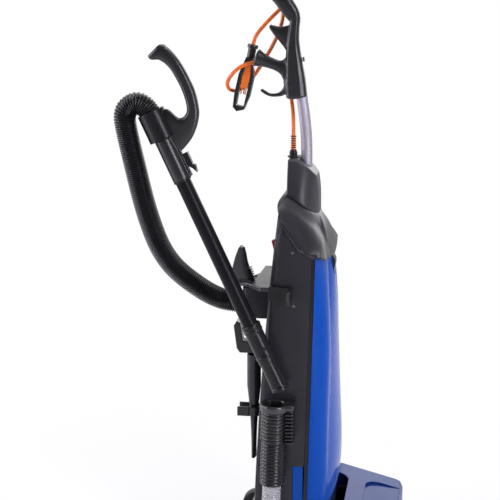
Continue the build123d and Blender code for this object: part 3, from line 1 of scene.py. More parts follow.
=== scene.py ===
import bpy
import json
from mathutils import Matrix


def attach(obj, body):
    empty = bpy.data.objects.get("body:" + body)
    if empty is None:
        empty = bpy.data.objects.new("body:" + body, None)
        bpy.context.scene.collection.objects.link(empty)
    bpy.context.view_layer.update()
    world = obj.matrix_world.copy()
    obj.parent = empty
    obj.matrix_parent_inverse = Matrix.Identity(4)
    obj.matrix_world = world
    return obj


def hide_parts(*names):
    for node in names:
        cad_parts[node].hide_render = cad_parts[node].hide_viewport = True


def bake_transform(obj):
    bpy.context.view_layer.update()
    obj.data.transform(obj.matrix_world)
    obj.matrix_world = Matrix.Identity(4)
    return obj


bl_info = {
    "name": "Upright vacuum cleaner",
    "version": (1, 0, 0),
    "blender": (4, 5, 0),
    "location": "3D Viewport > Sidebar > Cleaner",
    "description": "Dresses an upright cleaner: shells, hoses, cord, handle casting, wand and studio",
    "category": "Object",
}

import json
import math

import bmesh
import bpy
import numpy as np
from bpy.props import FloatProperty, FloatVectorProperty, IntProperty, PointerProperty
from mathutils import Vector

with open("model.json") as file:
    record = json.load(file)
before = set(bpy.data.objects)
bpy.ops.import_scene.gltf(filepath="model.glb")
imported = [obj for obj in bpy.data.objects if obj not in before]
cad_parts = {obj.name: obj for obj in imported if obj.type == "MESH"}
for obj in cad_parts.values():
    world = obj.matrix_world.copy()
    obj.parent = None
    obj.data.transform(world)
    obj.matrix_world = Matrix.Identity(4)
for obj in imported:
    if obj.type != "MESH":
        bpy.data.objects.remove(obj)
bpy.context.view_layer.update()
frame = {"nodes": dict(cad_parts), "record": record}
# Where the cuff, the lower hoses and the wand's centre plane lie.
SIDE_Y = -0.160

# The lead: out of the gland, behind the hooks, round the loop's lower bar and down to the plug's yoke.
LEAD_ROUTE = (
    (0.025, 0, 0.868), (0.025, 0, 0.893), (0.021, 0.017, 0.921), (0.015, 0.020, 0.953),
    (0.008, 0.020, 0.983), (-0.010, 0.017, 1.003), (-0.033, 0.014, 1.010), (-0.057, 0.013, 1.008),
    (-0.080, 0.012, 1.001), (-0.099, 0.013, 0.985), (-0.111, 0.020, 0.966), (-0.108, 0.034, 0.951),
    (-0.092, 0.045, 0.948), (-0.073, 0.046, 0.961), (-0.053, 0.0425, 0.988), (-0.033, 0.034, 1.019),
    (-0.017, 0.028, 1.046), (-0.005, 0.024, 1.073), (0.001, 0.022, 1.099), (0.001, 0.0215, 1.123),
    (-0.009, 0.021, 1.146), (-0.022, 0.0185, 1.166), (-0.030, 0.002, 1.178), (-0.024, -0.0185, 1.172),
    (-0.005, -0.022, 1.160), (0.016, -0.020, 1.152), (0.030, -0.007, 1.147), (0.030, 0.013, 1.143),
    (0.018, 0.028, 1.134), (0.003, 0.031, 1.119), (-0.010, 0.029, 1.106), (-0.0225, 0.028, 1.094),
    (-0.0355, 0.028, 1.0805), (-0.0475, 0.028, 1.067), (-0.0564, 0.028, 1.0538), (-0.05899, 0.028, 1.04105),
)
# The suction hose: from the inlet on the back of the body up to the swivel collar on the wand.
HOSE_ROUTE = (
    (-0.0661, -0.045, 0.540), (-0.088, -0.045, 0.540), (-0.112, -0.053, 0.548), (-0.136, -0.068, 0.564),
    (-0.159, -0.084, 0.585), (-0.181, -0.098, 0.607), (-0.200, -0.110, 0.631), (-0.218, -0.122, 0.666),
    (-0.232, -0.134, 0.713), (-0.244, -0.143, 0.764), (-0.255, -0.150, 0.822), (-0.267, -0.155, 0.880),
    (-0.275, -0.160, 0.934), (-0.23255, -0.160, 0.95183), (-0.21015, -0.160, 0.90380),
)


class CleanerSizes(bpy.types.PropertyGroup):
    """Sizes of the pieces that are worked out here."""

    lead_diameter: FloatProperty(name="Lead diameter", description="Outside of the orange lead",
                                 default=0.0075, min=0.005, max=0.010, unit="LENGTH")
    hose_diameter: FloatProperty(name="Hose diameter", description="Outside of the suction hose's ribs",
                                 default=0.042, min=0.03, max=0.05, unit="LENGTH")
    hose_pitch: FloatProperty(name="Hose pitch", description="From one rib of the suction hose to the next",
                              default=0.0041, min=0.003, max=0.01, unit="LENGTH")
    hose_groove: FloatProperty(name="Hose groove", description="Depth of the grooves between the ribs",
                               default=0.0026, min=0.0, max=0.004, unit="LENGTH")
    low_pitch: FloatProperty(name="Lower hose pitch", description="From rib to rib below the cuff",
                             default=0.0071, min=0.004, max=0.012, unit="LENGTH")
    edge_round: FloatProperty(name="Moulded edge", description="Usual rounding of the moulded edges",
                              default=0.0012, min=0.0002, max=0.004, unit="LENGTH")
    cast_voxel: FloatProperty(name="Casting cell", description="Usual mesh size of the soft castings",
                              default=0.0012, min=0.0008, max=0.004, unit="LENGTH")
    tread_count: IntProperty(name="Hook ridges", description="Grip ridges on the rear hook's horn",
                             default=6, min=3, max=12)


class CleanerColours(bpy.types.PropertyGroup):
    """Colours of the finishes, as linear values."""

    charcoal: FloatVectorProperty(name="Charcoal shell", description="Body, cap and hooks", subtype="COLOR",
                                  default=(0.0215, 0.0205, 0.0262), min=0, max=1)
    black: FloatVectorProperty(name="Black mouldings", description="Wand, casting and hoses", subtype="COLOR",
                               default=(0.0066, 0.0062, 0.0082), min=0, max=1)
    blue: FloatVectorProperty(name="Blue door and hood", description="Glossy blue panels", subtype="COLOR",
                              default=(0.0, 0.066, 0.400), min=0, max=1)
    orange: FloatVectorProperty(name="Orange lead", description="Lead and plug", subtype="COLOR",
                                default=(0.80, 0.165, 0.018), min=0, max=1)
    steel: FloatVectorProperty(name="Handle tube", description="Satin metal tube", subtype="COLOR",
                               default=(0.44, 0.42, 0.48), min=0, max=1)
    red: FloatVectorProperty(name="Switch", description="Rocker switch", subtype="COLOR",
                             default=(0.42, 0.004, 0.018), min=0, max=1)


# Shared surface effects
def group_tree(name, inputs, outputs):
    """An empty shader node group with named float inputs (name, default) and float outputs."""
    tree = bpy.data.node_groups.new(name, "ShaderNodeTree")
    for label, value in inputs:
        socket = tree.interface.new_socket(name=label, in_out="INPUT", socket_type="NodeSocketFloat")
        socket.default_value = value
    for label in outputs:
        tree.interface.new_socket(name=label, in_out="OUTPUT", socket_type="NodeSocketFloat")
    return tree, tree.nodes.new("NodeGroupInput"), tree.nodes.new("NodeGroupOutput")


def add_node(tree, kind, **values):
    """A node of that kind; values name its attributes, or its input sockets where the name is in capitals."""
    node = tree.nodes.new(kind)
    for key, value in values.items():
        if hasattr(node, key):
            setattr(node, key, value)
        else:
            node.inputs[key.replace("_", " ")].default_value = value
    return node


def feed(tree, source, target):
    """Joins an output socket to an input, or writes a number or a colour into it."""
    if isinstance(source, (int, float, tuple)):
        target.default_value = source
    else:
        tree.links.new(source, target)


def math_node(tree, operation, *terms, **values):
    """The output of a math node whose inputs are sockets or numbers, in order."""
    node = add_node(tree, "ShaderNodeMath", operation=operation, **values)
    for term, target in zip(terms, node.inputs):
        feed(tree, term, target)
    return node.outputs[0]


def ranged(tree, value, low, high, to_low=0.0, to_high=1.0):
    """A value carried from one range to another, held at both ends."""
    node = add_node(tree, "ShaderNodeMapRange", From_Min=low, From_Max=high, To_Min=to_low, To_Max=to_high)
    feed(tree, value, node.inputs["Value"])
    return node.outputs["Result"]


def noise(tree, vector, scale, detail=2.0, rough=0.5):
    """Noise on those coordinates; scale is a socket or a number."""
    node = add_node(tree, "ShaderNodeTexNoise", Detail=detail, Roughness=rough)
    feed(tree, vector, node.inputs["Vector"])
    feed(tree, scale, node.inputs["Scale"])
    return node.outputs["Fac"]


def object_place(tree):
    """The object's own coordinates."""
    return add_node(tree, "ShaderNodeTexCoord").outputs["Object"]


def stretched(tree, scale, rotation=(0.0, 0.0, 0.0)):
    """The object's own coordinates, stretched by scale and turned."""
    node = add_node(tree, "ShaderNodeMapping", Scale=scale, Rotation=rotation)
    feed(tree, object_place(tree), node.inputs["Vector"])
    return node.outputs["Vector"]


def mix_colours(tree, share, first, second):
    """The first colour turning into the second as share goes from 0 to 1."""
    node = add_node(tree, "ShaderNodeMix", data_type="RGBA")
    for source, place in ((share, 0), (first, 6), (second, 7)):
        feed(tree, source, node.inputs[place])
    return node.outputs[2]


def make_grain_group():
    """Moulded grain: fine spark-eroded pits plus a slow waviness of the moulding."""
    tree, entry, leave = group_tree("Moulded grain", [("Scale", 900.0), ("Wave", 12.0)], ["Height", "Mottle"])
    place = object_place(tree)
    fine = noise(tree, place, entry.outputs["Scale"], 3.0, 0.65)
    slow = noise(tree, place, entry.outputs["Wave"], 2.0, 0.5)
    pit_share = 0.55
    feed(tree, math_node(tree, "MULTIPLY_ADD", fine, pit_share, slow), leave.inputs["Height"])
    feed(tree, slow, leave.inputs["Mottle"])
    return tree


def make_handling_group():
    """Handling: soft smears and fine hairline scuffs that change the gloss."""
    tree, entry, leave = group_tree("Handling", [("Size", 9.0), ("Scuffs", 0.35)], ["Smear", "Scuff"])
    smear = noise(tree, object_place(tree), entry.outputs["Size"], 5.0, 0.6)
    feed(tree, ranged(tree, smear, 0.42, 0.68), leave.inputs["Smear"])
    lines = noise(tree, stretched(tree, (160.0, 160.0, 9.0), (0.25, 0.4, 0.1)), 1.0)
    scuff = math_node(tree, "MULTIPLY", ranged(tree, lines, 0.66, 0.74), entry.outputs["Scuffs"])
    feed(tree, scuff, leave.inputs["Scuff"])
    return tree


def make_dust_group():
    """House dust: settles on faces that look up, in patches."""
    tree, entry, leave = group_tree("House dust", [("Amount", 0.3), ("Patch", 30.0)], ["Mask"])
    patch = noise(tree, object_place(tree), entry.outputs["Patch"], 4.0, 0.6)
    split = add_node(tree, "ShaderNodeSeparateXYZ")
    feed(tree, add_node(tree, "ShaderNodeNewGeometry").outputs["Normal"], split.inputs[0])
    up = ranged(tree, split.outputs["Z"], 0.35, 1.0)
    settled = math_node(tree, "MULTIPLY", up, patch)
    feed(tree, math_node(tree, "MULTIPLY", settled, entry.outputs["Amount"]), leave.inputs["Mask"])
    return tree


EFFECT_MAKERS = {
    "Moulded grain": make_grain_group,
    "Handling": make_handling_group,
    "House dust": make_dust_group,
}
GROUPS = {}


def effect(tree, name, **values):
    """Places one shared effect in a material, with its own values."""
    if name not in GROUPS:
        GROUPS[name] = EFFECT_MAKERS[name]()
    node = tree.nodes.new("ShaderNodeGroup")
    node.node_tree = GROUPS[name]
    for key, value in values.items():
        node.inputs[key].default_value = value
    return node


# Materials
def new_material(name, **values):
    """A material with its node tree and its Principled node, whose inputs take the values."""
    material = bpy.data.materials.new(name)
    material.use_nodes = True
    shader = material.node_tree.nodes["Principled BSDF"]
    for key, value in values.items():
        shader.inputs[key.replace("_", " ")].default_value = value
    return material, material.node_tree, shader


def add_bump(tree, shader, height, strength, distance):
    """Relief from a height."""
    bump = add_node(tree, "ShaderNodeBump", Strength=strength, Distance=distance)
    feed(tree, height, bump.inputs["Height"])
    feed(tree, bump.outputs["Normal"], shader.inputs["Normal"])


def moulded(name, colour, rough, grain, relief, wave, dust, spread, sheen):
    """A moulded finish: base colour with a slow mottle and dust, gloss changed by smears and scuffs, and
    fine grain. spread is how far the mottle goes either way of the colour."""
    material, tree, shader = new_material(name, Specular_IOR_Level=sheen)
    skin = effect(tree, "Moulded grain", Scale=grain, Wave=wave)
    touch = effect(tree, "Handling", Size=9.0, Scuffs=0.35)
    film = effect(tree, "House dust", Amount=dust, Patch=30.0)
    light = tuple(min(1.0, c * (1 + spread) + 0.0015) for c in colour) + (1.0,)
    dark = tuple(c * (1 - spread) for c in colour) + (1.0,)
    dust_colour = (0.34, 0.32, 0.31, 1.0)
    tone = mix_colours(tree, skin.outputs["Mottle"], dark, light)
    feed(tree, mix_colours(tree, film.outputs["Mask"], tone, dust_colour), shader.inputs["Base Color"])
    smear_share, scuff_share = 0.06, 0.3
    smeared = math_node(tree, "MULTIPLY_ADD", touch.outputs["Smear"], smear_share, rough)
    scuffed = math_node(tree, "MULTIPLY_ADD", touch.outputs["Scuff"], scuff_share, smeared, use_clamp=True)
    feed(tree, scuffed, shader.inputs["Roughness"])
    add_bump(tree, shader, skin.outputs["Height"], relief, 0.0006)
    return material


def metal(name, colour, rough, brushed, line):
    """A metal finish: hairline brushing along one direction, with smears that change its gloss."""
    material, tree, shader = new_material(name, Metallic=1.0)
    hair = noise(tree, stretched(tree, line), 1.0, 3.0)
    touch = effect(tree, "Handling", Size=14.0, Scuffs=0.4)
    dark = tuple(c * 0.86 for c in colour) + (1.0,)
    light = tuple(min(1.0, c * 1.12) for c in colour) + (1.0,)
    feed(tree, mix_colours(tree, hair, dark, light), shader.inputs["Base Color"])
    smear_share = 0.12
    smeared = math_node(tree, "MULTIPLY_ADD", touch.outputs["Smear"], smear_share, rough)
    feed(tree, smeared, shader.inputs["Roughness"])
    add_bump(tree, shader, hair, brushed, 0.0002)
    return material


def clear_plastic(name, colour):
    """A soft clear plastic: see-through with milky mottling and a wet gloss."""
    material, tree, shader = new_material(name, Base_Color=(*colour, 1), Roughness=0.18,
                                          Transmission_Weight=0.75, IOR=1.35)
    skin = effect(tree, "Moulded grain", Scale=500.0, Wave=40.0)
    add_bump(tree, shader, skin.outputs["Height"], 0.08, 0.0005)
    return material


# Moulded finishes: the colour, written out or as (property, share of it, lift), then roughness, grain
# scale, relief, wave scale, dust, spread and sheen.
MOULDED = {
    "charcoal shell": (("charcoal", 1.0, 0.0), 0.30, 1400.0, 0.06, 10.0, 0.04, 0.25, 0.30),
    "charcoal cap": (("charcoal", 1.35, 0.0), 0.40, 700.0, 0.22, 14.0, 0.04, 0.25, 0.50),
    "charcoal smooth": (("charcoal", 0.75, 0.0), 0.22, 1800.0, 0.04, 14.0, 0.04, 0.25, 0.45),
    # The hook's finish is the charcoal lifted by half: a painted highlight for the light on the horn and
    # shelf; its sheen is real gloss.
    "hook grey": (("charcoal", 1.5, 0.0), 0.30, 1800.0, 0.04, 14.0, 0.04, 0.25, 0.90),
    "black gloss": (("black", 1.0, 0.0), 0.27, 2200.0, 0.02, 16.0, 0.04, 0.25, 0.30),
    "black satin": (("black", 1.0, 0.0), 0.32, 1600.0, 0.05, 20.0, 0.05, 0.25, 0.35),
    "black casting": (("black", 1.3, 0.0), 0.27, 1300.0, 0.04, 30.0, 0.04, 0.25, 0.60),
    "hose black": (("black", 1.2, 0.0), 0.26, 1500.0, 0.02, 25.0, 0.03, 0.25, 0.50),
    "cuff black": (("black", 1.6, 0.0), 0.27, 1600.0, 0.02, 20.0, 0.03, 0.25, 0.80),
    "wand black": (("black", 1.0, 0.0), 0.30, 2200.0, 0.02, 16.0, 0.04, 0.25, 0.13),
    "black rubber": ((0.012, 0.012, 0.013), 0.62, 1200.0, 0.18, 30.0, 0.25, 0.25, 0.50),
    "blue gloss": (("blue", 1.0, 0.0), 0.17, 2200.0, 0.004, 6.0, 0.01, 0.06, 0.13),
    "blue hood": (("blue", 0.42, 0.006), 0.20, 2200.0, 0.004, 6.0, 0.02, 0.06, 0.10),
    "orange lead": (("orange", 1.0, 0.0), 0.33, 1800.0, 0.05, 60.0, 0.04, 0.12, 0.50),
    "switch red": (("red", 1.0, 0.0), 0.22, 2200.0, 0.02, 40.0, 0.0, 0.25, 0.50),
    "bag paper": ((0.52, 0.45, 0.34), 0.8, 500.0, 0.35, 25.0, 0.1, 0.12, 0.50),
    "filter felt": ((0.55, 0.56, 0.58), 0.9, 900.0, 0.6, 40.0, 0.2, 0.15, 0.50),
    "bristle": ((0.02, 0.02, 0.022), 0.5, 2500.0, 0.4, 80.0, 0.1, 0.25, 0.50),
    "motor case": ((0.20, 0.20, 0.21), 0.42, 900.0, 0.12, 30.0, 0.15, 0.25, 0.50),
}
# Metals: the colour, then roughness, brushing and the brushing's scale along each axis.
METALS = {
    "tube steel": (("steel", 1.0, 0.0), 0.60, 0.15, (700.0, 700.0, 30.0)),
    "dark steel": ((0.16, 0.16, 0.17), 0.38, 0.15, (700.0, 700.0, 30.0)),
    "zinc plate": ((0.55, 0.55, 0.57), 0.32, 0.1, (60.0, 60.0, 60.0)),
}
CLEAR = {"clear hose": ((0.82, 0.83, 0.86),)}
FINISH = {}


def finish_of(name):
    """The finish of that name, made once."""
    if name not in FINISH:
        for maker, table in ((moulded, MOULDED), (metal, METALS), (clear_plastic, CLEAR)):
            if name in table:
                colour, *rest = table[name]
                if isinstance(colour[0], str):
                    tint, share, lift = colour
                    colour = [c * share + lift for c in getattr(bpy.context.scene.cleaner_colours, tint)]
                FINISH[name] = maker(name.capitalize(), colour, *rest)
    return FINISH[name]


# Surfaces
def link_object(name, data):
    """A new object in the scene."""
    obj = bpy.data.objects.new(name, data)
    bpy.context.scene.collection.objects.link(obj)
    return obj


def grid_object(name, rows, finish, close_rows=False, cap=False):
    """A surface from an array of points (stations, points round, 3): each point is joined to its neighbours
    round the ring, and each ring to the next; close_rows joins the last station to the first, and cap
    closes both ends."""
    rows = np.asarray(rows, dtype=float)
    m, n, _ = rows.shape
    i = np.arange(m if close_rows else m - 1)[:, None]
    j = np.arange(n)[None, :]
    here, there = (i % m) * n, ((i + 1) % m) * n
    beside = (j + 1) % n
    quads = np.stack([here + j, here + beside, there + beside, there + j], axis=-1).reshape(-1, 4)
    faces = quads.tolist()
    if cap and not close_rows:
        faces.append(list(range(n))[::-1])
        faces.append([(m - 1) * n + k for k in range(n)])
    mesh = bpy.data.meshes.new(name)
    mesh.from_pydata(rows.reshape(-1, 3).tolist(), [], faces)
    mesh.update()
    outward(mesh)
    mesh.shade_smooth()
    mesh.set_sharp_from_angle(angle=math.radians(50))
    mesh.materials.append(finish_of(finish))
    return link_object(name, mesh)


def outward(mesh):
    """Makes the faces of a closed mesh point outwards."""
    work = bmesh.new()
    work.from_mesh(mesh)
    bmesh.ops.remove_doubles(work, verts=work.verts, dist=1e-6)
    bmesh.ops.recalc_face_normals(work, faces=work.faces)
    work.to_mesh(mesh)
    work.free()


def around_circle(count):
    """Angles evenly round a circle."""
    return np.linspace(0, 2 * np.pi, count, endpoint=False)


def superellipse(count, power):
    """Points of a superellipse: sign(cos) |cos|^power and sign(sin) |sin|^power."""
    c, s = np.cos(around_circle(count)), np.sin(around_circle(count))
    return np.sign(c) * np.abs(c) ** power, np.sign(s) * np.abs(s) ** power


def ribs(at, pitch):
    """1 on each rib and 0 in each groove, as half of one plus the cosine of a full turn for each pitch."""
    return 0.5 + 0.5 * np.cos(2 * np.pi * at / pitch)


def ring_frames(path):
    """Two unit vectors across a path at each of its points: one square to the path and to the Y axis,
    and one square to both."""
    along = np.gradient(path, axis=0)
    along /= np.linalg.norm(along, axis=1)[:, None]
    side = np.cross(along, np.array([0.0, 1.0, 0.0]))
    side /= np.linalg.norm(side, axis=1)[:, None]
    return side, np.cross(side, along)


def carried_tube(name, path, radius, finish, around=40, cap=True):
    """A tube: at each point of the path a circle of that point's radius, in the plane across the path."""
    side, lift = ring_frames(path)
    angle = around_circle(around)
    ring = np.cos(angle)[None, :, None] * side[:, None, :] + np.sin(angle)[None, :, None] * lift[:, None, :]
    rows = path[:, None, :] + radius[:, None, None] * ring
    return grid_object(name, rows, finish, cap=cap)


def turned(name, origin, axis, profile, finish, around=72, cap=False, close_rows=False):
    """A turned form: (distance along the axis, radius) pairs spun about the axis through origin."""
    origin, axis, profile = (np.asarray(a, float) for a in (origin, axis, profile))
    axis = axis / np.linalg.norm(axis)
    side = np.cross(np.array([0.0, 1.0, 0.0]), axis)
    side /= np.linalg.norm(side)
    lift = np.cross(axis, side)
    angle = around_circle(around)
    ring = np.cos(angle)[:, None] * side + np.sin(angle)[:, None] * lift
    rows = origin + profile[:, 0][:, None, None] * axis + profile[:, 1][:, None, None] * ring[None, :, :]
    return grid_object(name, rows, finish, cap=cap, close_rows=close_rows)


def through(points, count):
    """A smooth line through the points (Catmull-Rom): between two of them a cubic whose slope at each is half
    the step from the one before to the one after; count points, spread evenly over the spans."""
    points = np.asarray(points, float)
    padded = np.vstack([2 * points[0] - points[1], points, 2 * points[-1] - points[-2]])
    at = np.linspace(0, len(points) - 1, count)
    k = np.minimum(at.astype(int), len(points) - 2)
    t = (at - k)[:, None]
    p0, p1, p2, p3 = padded[k], padded[k + 1], padded[k + 2], padded[k + 3]
    return 0.5 * (2 * p1 + (p2 - p0) * t + (2 * p0 - 5 * p1 + 4 * p2 - p3) * t ** 2
                  + (3 * p1 - p0 - 3 * p2 + p3) * t ** 3)


# The rings that close a limb's end: share of its last section, and share of the end's push.
END_RINGS = ((0.93, 0.45), (0.75, 0.8), (0.4, 0.97), (0.02, 1.0))
END_PUSH = 0.35
RIDGE_WIDTH = 0.12


def limb(first, second, depth, power=2.4, ridges=(), origin=(0, 0, 0), across=(1, 0, 0), along=(0, 0, 1),
         around=48, count=90, closed=False):
    """A rounded limb between two outlines in an upright plane, in mm. At each station the section is a
    superellipse |u|^p + |v|^p = 1: u runs from one outline to the other and v along Y, times the half depth
    there; ridges (place across, height) raise v by height * exp(-((u - place) / RIDGE_WIDTH)^2). Both ends
    close in a small round, unless the limb is closed on itself."""
    lower, upper = through(first, count), through(second, count)
    half = through(np.asarray(depth, float)[:, None], count)[:, 0]
    u, v = superellipse(around, 2 / power)
    for place, height in ridges:
        v = v * (1 + height * np.exp(-((u - place) / RIDGE_WIDTH) ** 2))
    centre, reach = (lower + upper) / 2, (upper - lower) / 2
    flat = centre[:, None, :] + u[None, :, None] * reach[:, None, :]
    deep = half[:, None] * v[None, :]
    if not closed:
        out = []
        for end, inner in ((0, 1), (-1, -2)):
            push = centre[end] - centre[inner]
            push = push / np.linalg.norm(push) * min(half[end], np.linalg.norm(reach[end])) * END_PUSH
            out.append([(centre[end] + push * lift + (flat[end] - centre[end]) * size, deep[end] * size)
                        for size, lift in END_RINGS])
        flat = np.concatenate([[f for f, _ in out[0]][::-1], flat, [f for f, _ in out[1]]])
        deep = np.concatenate([[d for _, d in out[0]][::-1], deep, [d for _, d in out[1]]])
    origin, across, along = (np.asarray(a, float) for a in (origin, across, along))
    return (origin + 0.001 * (flat[:, :, 0:1] * across + flat[:, :, 1:2] * along
                              + deep[:, :, None] * np.array([0.0, 1.0, 0.0])))


def block(name, low, high, finish, edge):
    """A block with softly rounded edges: a superellipse section carried between two ends that close over."""
    low, high = np.asarray(low, float), np.asarray(high, float)
    centre, half = (low + high) / 2, (high - low) / 2
    u, v = superellipse(64, 0.22)
    narrow, tall = edge / half[0], edge / half[2]
    ends = ((0.02, 1.0), (1 - narrow, 1.0), (1 - 0.3 * narrow, 1 - 0.3 * tall), (1.0, 1 - tall))
    rings = [(size, -lift) for size, lift in ends] + [(size, lift) for size, lift in ends[::-1]]
    wide, deep = u * half[0], v * half[1]
    rows = [centre + np.stack([wide * size, deep * size, np.full(len(u), lift * half[2])], axis=1)
            for size, lift in rings]
    return grid_object(name, rows, finish, cap=True)


def nurbs_object(name, route, detail):
    """A NURBS curve of the third order with the route's points as its control points."""
    curve = bpy.data.curves.new(name, "CURVE")
    curve.dimensions = "3D"
    curve.resolution_u = detail
    spline = curve.splines.new("NURBS")
    spline.points.add(len(route) - 1)
    spline.points.foreach_set("co", np.hstack([np.asarray(route, float), np.ones((len(route), 1))]).ravel())
    spline.order_u = 3
    spline.use_endpoint_u = True
    return link_object(name, curve)


def route_line(route):
    """The smooth line of a route, as points in order."""
    holder = nurbs_object("route", route, 20)
    bpy.context.view_layer.update()
    mesh = bpy.data.meshes.new_from_object(holder.evaluated_get(bpy.context.evaluated_depsgraph_get()))
    line = np.empty(len(mesh.vertices) * 3)
    mesh.vertices.foreach_get("co", line)
    curve = holder.data
    bpy.data.objects.remove(holder)
    bpy.data.curves.remove(curve)
    bpy.data.meshes.remove(mesh)
    return line.reshape(-1, 3)


def evenly(line, step):
    """Points a step apart along a line, and how far along each one is."""
    gap = np.linalg.norm(np.diff(line, axis=0), axis=1)
    far = np.concatenate([[0.0], np.cumsum(gap)])
    at = np.linspace(0, far[-1], max(3, int(round(far[-1] / step)) + 1))
    return np.stack([np.interp(at, far, line[:, k]) for k in range(3)], axis=1), at


# Pieces made from the CAD nodes
def body_named(node):
    """The body that a CAD node rides on."""
    for body, nodes in frame["record"]["behaviour"]["bodies"].items():
        if node in nodes:
            return body
    raise RuntimeError("no body holds " + node)


def merged_copy(node, name):
    """A copy of a CAD node's mesh with its loose triangles merged and its flat faces made whole."""
    source = frame["nodes"][node]
    mesh = source.data.copy()
    mesh.name = name
    work = bmesh.new()
    work.from_mesh(mesh)
    bmesh.ops.remove_doubles(work, verts=work.verts, dist=2e-6)
    bmesh.ops.dissolve_limit(work, angle_limit=math.radians(0.6), verts=work.verts, edges=work.edges)
    work.to_mesh(mesh)
    work.free()
    mesh.materials.clear()
    obj = link_object(name, mesh)
    obj.matrix_world = source.matrix_world.copy()
    return obj


def add_modifier(obj, kind, **values):
    """A modifier of that kind with its values."""
    step = obj.modifiers.new(kind.lower(), kind)
    for key, value in values.items():
        setattr(step, key, value)


def bake_modifiers(obj):
    """Applies the modifiers of an object to its mesh."""
    bpy.context.view_layer.update()
    made = bpy.data.meshes.new_from_object(obj.evaluated_get(bpy.context.evaluated_depsgraph_get()))
    obj.modifiers.clear()
    obj.data = made


def stand_for(obj, node):
    """Puts a piece in the place of a CAD node, on that node's body."""
    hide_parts(node)
    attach(obj, body_named(node))
    return obj


def move_points(obj, rule):
    """Moves each vertex as the rule says, which takes and gives points in mm in the row frame."""
    mesh = obj.data
    flat = np.empty(len(mesh.vertices) * 3)
    mesh.vertices.foreach_get("co", flat)
    place = np.array(obj.matrix_world)
    moved = rule((flat.reshape(-1, 3) @ place[:3, :3].T + place[:3, 3]) * 1000) / 1000
    mesh.vertices.foreach_set("co", ((moved - place[:3, 3]) @ np.linalg.inv(place[:3, :3]).T).ravel())
    mesh.update()


def soften(obj, finish, voxel, rounds, rule=None):
    """Rebuilds a closed surface in small cells, lets the rule move its points, smooths it and gives it its
    finish, so that edges and inside corners run into each other as in a moulding."""
    add_modifier(obj, "REMESH", mode="VOXEL", voxel_size=voxel or bpy.context.scene.cleaner_sizes.cast_voxel)
    if rule:
        bake_modifiers(obj)
        move_points(obj, rule)
    add_modifier(obj, "SMOOTH", factor=0.5, iterations=rounds)
    bake_modifiers(obj)
    obj.data.shade_smooth()
    obj.data.materials.clear()
    obj.data.materials.append(finish_of(finish))


def cast_piece(node, finish, voxel, rounds, suffix="_cast", rule=None):
    """A softly rounded casting made from a CAD node."""
    obj = merged_copy(node, node + suffix)
    soften(obj, finish, voxel, rounds, rule)
    return stand_for(obj, node)


def fused(name, node, finish, parts, voxel, rounds, closed=()):
    """Limbs run together into one casting; closed lists the parts that close on themselves."""
    work = bmesh.new()
    for k, rows in enumerate(parts):
        part = grid_object("part", rows, finish, close_rows=(k in closed), cap=(k not in closed))
        work.from_mesh(part.data)
        spare = part.data
        bpy.data.objects.remove(part)
        bpy.data.meshes.remove(spare)
    mesh = bpy.data.meshes.new(name)
    work.to_mesh(mesh)
    work.free()
    whole = link_object(name, mesh)
    soften(whole, finish, voxel, rounds)
    return stand_for(whole, node)


def shell_piece(node, finish, edge=None, segments=3, angle=35, corner=None):
    """A moulded or pressed piece: the CAD form with its edges rounded, by the usual size where edge is
    None, and its faces shaded smooth. corner picks edges for a larger round first, and gives its radius."""
    obj = merged_copy(node, node + "_skin")
    if corner:
        round_corners(obj, *corner)
    width = bpy.context.scene.cleaner_sizes.edge_round if edge is None else edge
    obj.data.shade_smooth()
    obj.data.set_sharp_from_angle(angle=math.radians(angle))
    if width > 0:
        add_modifier(obj, "BEVEL", width=width, segments=segments, limit_method="ANGLE",
                     angle_limit=math.radians(angle), miter_outer="MITER_ARC", harden_normals=True)
    obj.data.materials.append(finish_of(finish))
    bake_modifiers(obj)
    return stand_for(obj, node)


def round_corners(obj, pick, width, segments=6):
    """Rounds the sharp edges that pick says, from their two ends in the row frame, with that radius."""
    work = bmesh.new()
    work.from_mesh(obj.data)
    place = obj.matrix_world
    sharp = [edge for edge in work.edges if len(edge.link_faces) == 2 and edge.calc_face_angle(0) > 0.6]
    chosen = [edge for edge in sharp if all(pick(place @ vert.co) for vert in edge.verts)]
    bmesh.ops.bevel(work, geom=chosen, offset=width, segments=segments, profile=0.5, affect="EDGES",
                    clamp_overlap=True)
    work.to_mesh(obj.data)
    work.free()


def keep_node(node, finish):
    """A CAD node whose form is already right gets its finish."""
    mesh = frame["nodes"][node].data
    mesh.materials.clear()
    mesh.materials.append(finish_of(finish))


def dress_all(shells, kept=()):
    """Shell pieces, each from (node, finish, edge, segments), and kept nodes, each from (node, finish)."""
    for row in shells:
        shell_piece(*row)
    for row in kept:
        keep_node(*row)


# The top of the body, in mm: a point of the shoulder's foot and of its head (x, z), and the direction in
# which each is left behind.
FOOT_POINT, FOOT_UP = (10, 740), (0.674, 0.739)
HEAD_POINT, HEAD_DOWN = (20, 762), (-0.5255, -0.851)
HALF_WIDTH = 132
SHOULDER_RUN = 91
# Half the width of the flat front, and the stretch in which it turns into the side.
FRONT_HALF, FRONT_TURN = 96, 30
HOLLOW_AT, HOLLOW_WIDTH = 86, 17
# Where the rounding in plan starts, over what length it runs, and how far the front draws back.
PLAN_FROM, PLAN_RUN, PLAN_BACK = 40, 48, 9
CAP_FROM, CAP_RISE = 752, 82
# How far the shoulder's parts move: the foot's flare and what the sides keep of it, the swell out and up,
# the heel, the hollow in and down, the skirt's swag and fall, the foot's drop, and the push past the sides.
FLARE, FLARE_LESS = 10.5, 7.5
SWELL_OUT, SWELL_UP = 3, 8
HEEL_MOVE = 7
HOLLOW_IN, HOLLOW_DOWN = 4, 5
SKIRT_SWAG, SKIRT_FALL = 112, 12
FOOT_DROP, SIDE_PUSH = 12, 6.2
# The housing's rim: how far it is let down and drawn in.
RIM_DROP, RIM_INWARD = 21, 1.2


def past(point, direction, x, z):
    """How far (x, z) lies past a point in a direction."""
    return (x - point[0]) * direction[0] + (z - point[1]) * direction[1]


